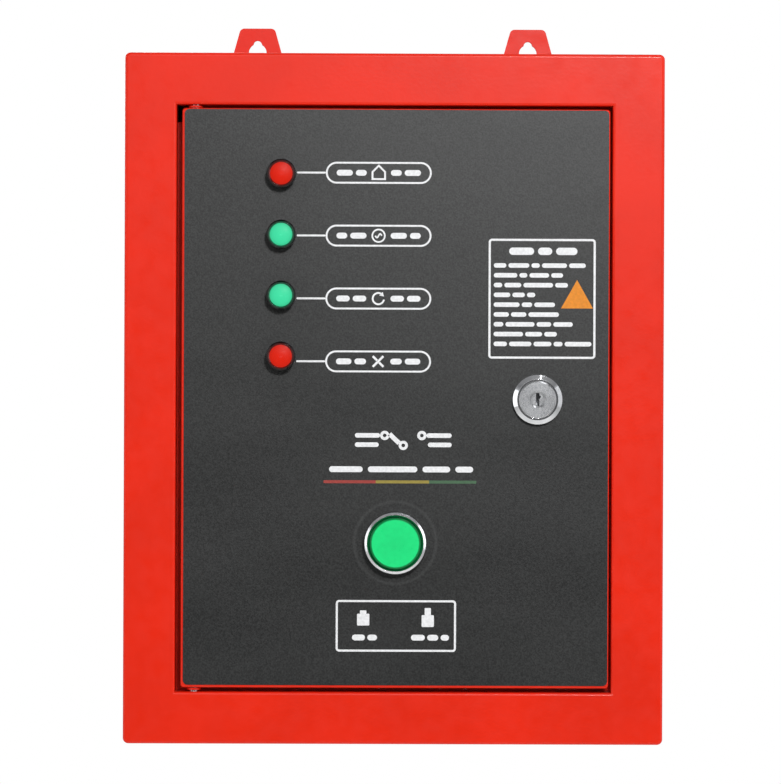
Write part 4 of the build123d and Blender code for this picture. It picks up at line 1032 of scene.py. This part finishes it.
# The row between the relays and the terminal strip: chips, capacitors, resistors, lamps.
row_z = (relays_low[2] + strip_high[2]) / 2
chip_w = 16.0 * MM
chip_h = 6.4 * MM
chip_rise = 3.6 * MM
chip_places = (board_mid.x + 8 * MM, board_mid.x + 30 * MM)
notch_r = 0.7 * MM
notch_profile = [(0, -0.1 * MM), (notch_r, -0.1 * MM), (notch_r, 0.08 * MM), (0, 0.08 * MM)]
side_pins = 6
chips = bmesh.new()
legs = bmesh.new()
for x in chip_places:
    near = board_y - chip_rise
    tablet(chips, x, row_z, chip_w, chip_h, 0.4 * MM, board_y - 0.6 * MM, near, 0.3 * MM)
    notch = outward(x - chip_w / 2 + 1.6 * MM, near, row_z)
    turned(chips, notch_profile, notch, 12)
    for pin in range(side_pins):
        pin_x = x + (pin - (side_pins - 1) / 2) * pin_pitch
        for side in (-1, 1):
            pin_z = row_z + side * (chip_h / 2 + 0.35 * MM)
            leg = rounded(pin_x, pin_z, 0.9 * MM, 0.7 * MM, 0.1 * MM)
            prism(legs, leg, board_y - 1.9 * MM, board_y)
piece("board_chips", chips, "enclosure", finishes["dark_plastic"])
piece("board_chip_legs", legs, "enclosure", finishes["zinc_steel"])

can_r = 3.6 * MM
can_h = 11.5 * MM
sleeve = [(0, 0), (0.94 * can_r, 0), (can_r, 0.05 * can_h), (can_r, 0.12 * can_h)]
sleeve += [(0.9 * can_r, 0.16 * can_h), (can_r, 0.2 * can_h), (can_r, 0.95 * can_h)]
sleeve += [(0.9 * can_r, can_h), (0, can_h)]
cap = [(0, 0), (0.78 * can_r, 0), (0.78 * can_r, 0.02 * can_h)]
cap += [(0.7 * can_r, 0.035 * can_h), (0, 0.03 * can_h)]
sleeves = bmesh.new()
caps = bmesh.new()
can_start = board_mid.x - 31 * MM
can_pitch = 9.2 * MM
for step in range(3):
    x = can_start + step * can_pitch
    turned(sleeves, sleeve, outward(x, board_y, row_z), 28)
    turned(caps, cap, outward(x, board_y - can_h, row_z), 28)
piece("board_capacitors", sleeves, "enclosure", finishes["blue_plastic"])
piece("board_capacitor_caps", caps, "enclosure", finishes["aluminium"])

# Resistors lie in a row above the relays, on bent leads.
rod_r = 1.15 * MM
rod_half = 3.2 * MM
rod = [(0, -rod_half), (0.7 * rod_r, -rod_half), (rod_r, -0.82 * rod_half), (rod_r, -0.6 * rod_half)]
rod += [(0.82 * rod_r, -0.42 * rod_half), (0.82 * rod_r, 0.42 * rod_half), (rod_r, 0.6 * rod_half)]
rod += [(rod_r, 0.82 * rod_half), (0.7 * rod_r, rod_half), (0, rod_half)]
lead_r = 0.3 * MM
lead = [(0, -2 * rod_half), (lead_r, -2 * rod_half), (lead_r, 2 * rod_half), (0, 2 * rod_half)]
lead_leg = [(0, 0), (lead_r, 0), (lead_r, 1.6 * MM), (0, 1.6 * MM)]
rods = bmesh.new()
leads = bmesh.new()
rod_start = board_mid.x - 28 * MM
rod_pitch = 14.5 * MM
rod_y = board_y - 1.5 * MM
z = relays_high[2] + 5.0 * MM
for step in range(6):
    x = rod_start + step * rod_pitch
    turned(rods, rod, sideways(x, rod_y, z), 16)
    turned(leads, lead, sideways(x, rod_y, z), 10)
    for side in (-2, 2):
        turned(leads, lead_leg, outward(x + side * rod_half, board_y, z), 10)
piece("board_resistors", rods, "enclosure", resistor_tan)
piece("board_resistor_leads", leads, "enclosure", finishes["zinc_steel"])

led_r = 1.5 * MM
led = [(0, 0), (1.2 * led_r, 0), (1.2 * led_r, 0.5 * MM), (led_r, 0.55 * MM), (led_r, 2.6 * MM)]
led += [(0.85 * led_r, 3.4 * MM), (0.5 * led_r, 3.9 * MM), (0, 4.1 * MM)]
lamps = (("board_leds_red", led_red, (0, 3)), ("board_leds_green", led_green, (1, 2)))
led_x = board_low[0] + 3.6 * MM
led_pitch = 6.0 * MM
for name, material, places in lamps:
    bm = bmesh.new()
    for step in places:
        z = board_mid.z + (step - 0.5) * led_pitch
        turned(bm, led, outward(led_x, board_y, z), 20)
    piece(name, bm, "enclosure", material)

# Blank labels on the switchgear, and the blank tags of the terminal blocks.
bm = bmesh.new()
for node, right, up, w, h in (
    ("mains_contactor_body", 13.4, 5.0, 12.0, 8.0),
    ("generator_contactor_body", 13.4, 5.0, 12.0, 8.0),
    ("breaker_body", 0.0, 15.0, 13.5, 9.0),
    ("charger_module", 0.0, 28.0, 31.0, 9.0),
):
    middle = centre(node)
    sticker(bm, middle.x + right * MM, middle.z + up * MM, w * MM, h * MM, front(node))
piece("switchgear_labels", bm, "enclosure", label_paper)

tag_w = 5.6 * MM
tag_h = 8.5 * MM
blocks_low, blocks_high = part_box("terminal_blocks")
block_count = 12
block_w = (blocks_high[0] - blocks_low[0]) / block_count
bm = bmesh.new()
for step in range(block_count):
    x = blocks_low[0] + (step + 0.5) * block_w
    z = (blocks_low[2] + blocks_high[2]) / 2
    near = blocks_low[1] - 0.6 * MM
    tablet(bm, x, z, tag_w, tag_h, 0.5 * MM, blocks_low[1] + 0.1 * MM, near, 0.2 * MM)
piece("terminal_tags", bm, "enclosure", finishes["white_plastic"])

# ---------------------------------------------------------------- studio


def area_light(name, place, aim, w, h, watts):
    """A soft rectangular light, turned towards a point."""
    data = bpy.data.lights.new(name, "AREA")
    data.shape = "RECTANGLE"
    data.size = w
    data.size_y = h
    data.energy = watts
    light = bpy.data.objects.new(name, data)
    light.location = place
    light.rotation_euler = (Vector(aim) - Vector(place)).to_track_quat("-Z", "Y").to_euler()
    bpy.context.scene.collection.objects.link(light)


def studio_world():
    """White behind the object; as light, a dome, bright above and at the sides, dim below."""
    world = bpy.data.worlds.new("studio")
    bpy.context.scene.world = world
    world.use_nodes = True
    tree = world.node_tree
    tree.nodes.clear()

    def join(source, target):
        tree.links.new(source, target)

    def fade(source, low, high, dim, bright):
        made = tree.nodes.new("ShaderNodeMapRange")
        made.inputs["From Min"].default_value = low
        made.inputs["From Max"].default_value = high
        made.inputs["To Min"].default_value = dim
        made.inputs["To Max"].default_value = bright
        join(source, made.inputs["Value"])
        return made.outputs["Result"]

    place = tree.nodes.new("ShaderNodeTexCoord")
    split = tree.nodes.new("ShaderNodeSeparateXYZ")
    join(place.outputs["Generated"], split.inputs[0])
    aside = tree.nodes.new("ShaderNodeMath")
    aside.operation = "ABSOLUTE"
    join(split.outputs["X"], aside.inputs[0])
    total = tree.nodes.new("ShaderNodeMath")
    total.operation = "ADD"
    join(fade(split.outputs["Z"], -0.3, 0.9, 0.07, 0.42), total.inputs[0])
    join(fade(aside.outputs[0], 0.68, 0.84, 0.0, 0.9), total.inputs[1])
    dome = tree.nodes.new("ShaderNodeBackground")
    join(total.outputs[0], dome.inputs["Strength"])
    seen = tree.nodes.new("ShaderNodeBackground")
    seen.inputs["Color"].default_value = (1, 1, 1, 1)
    path = tree.nodes.new("ShaderNodeLightPath")
    mix = tree.nodes.new("ShaderNodeMixShader")
    join(path.outputs["Is Camera Ray"], mix.inputs["Fac"])
    join(dome.outputs[0], mix.inputs[1])
    join(seen.outputs[0], mix.inputs[2])
    out = tree.nodes.new("ShaderNodeOutputWorld")
    join(mix.outputs[0], out.inputs["Surface"])


def floor():
    """A wide pale floor well below the hung box."""
    bm = bmesh.new()
    half = 4.0
    level = -1.3
    outline = [(-half, -half), (half, -half), (half, half), (-half, half)]
    bm.faces.new([bm.verts.new((x, y, level)) for x, y in outline])
    bmesh.ops.subdivide_edges(bm, edges=bm.edges, cuts=3, use_grid_fill=True)
    mesh = bpy.data.meshes.new("studio_floor")
    bm.to_mesh(mesh)
    bm.free()
    mesh.materials.append(pale_floor())
    made = bpy.data.objects.new("studio_floor", mesh)
    bpy.context.scene.collection.objects.link(made)


box_front = front("front_frame")
studio_world()
floor()
area_light("key", (0.26, -1.95, 0.64), (0, box_front, 0), 0.24, 0.24, 15)
area_light("front", (-0.1, -2.45, 0.95), (0, box_front, 0), 1.9, 0.9, 7)
area_light("strip_left", (-1.5, -1.3, 0.1), (0, box_front, 0), 0.35, 1.3, 1.6)
area_light("strip_right", (1.5, -1.3, 0.25), (0, box_front, 0), 0.35, 1.3, 3)
area_light("top", (0.5, -0.55, 1.3), (0, box_front, 0.1), 0.8, 0.2, 3)
area_light("rear", (-0.8, 1.9, 0.8), (0, 0, 0), 1.4, 1.2, 22)

camera_data = bpy.data.cameras.new("camera")
camera_data.lens = 183.5
camera_data.sensor_width = 36.0
camera = bpy.data.objects.new("camera", camera_data)
bpy.context.scene.collection.objects.link(camera)
bpy.context.scene.camera = camera
camera_place = Vector((-0.0155, -2.0, 0.01))
camera_aim = Vector((-0.0016, box_front, 0.0032))
camera_roll = math.radians(0.22)
look = (camera_aim - camera_place).to_track_quat("-Z", "Y").to_matrix().to_4x4()
roll = Matrix.Rotation(camera_roll, 4, "Z")
camera.matrix_world = Matrix.Translation(camera_place) @ look @ roll

bpy.context.scene.view_settings.view_transform = "Standard"
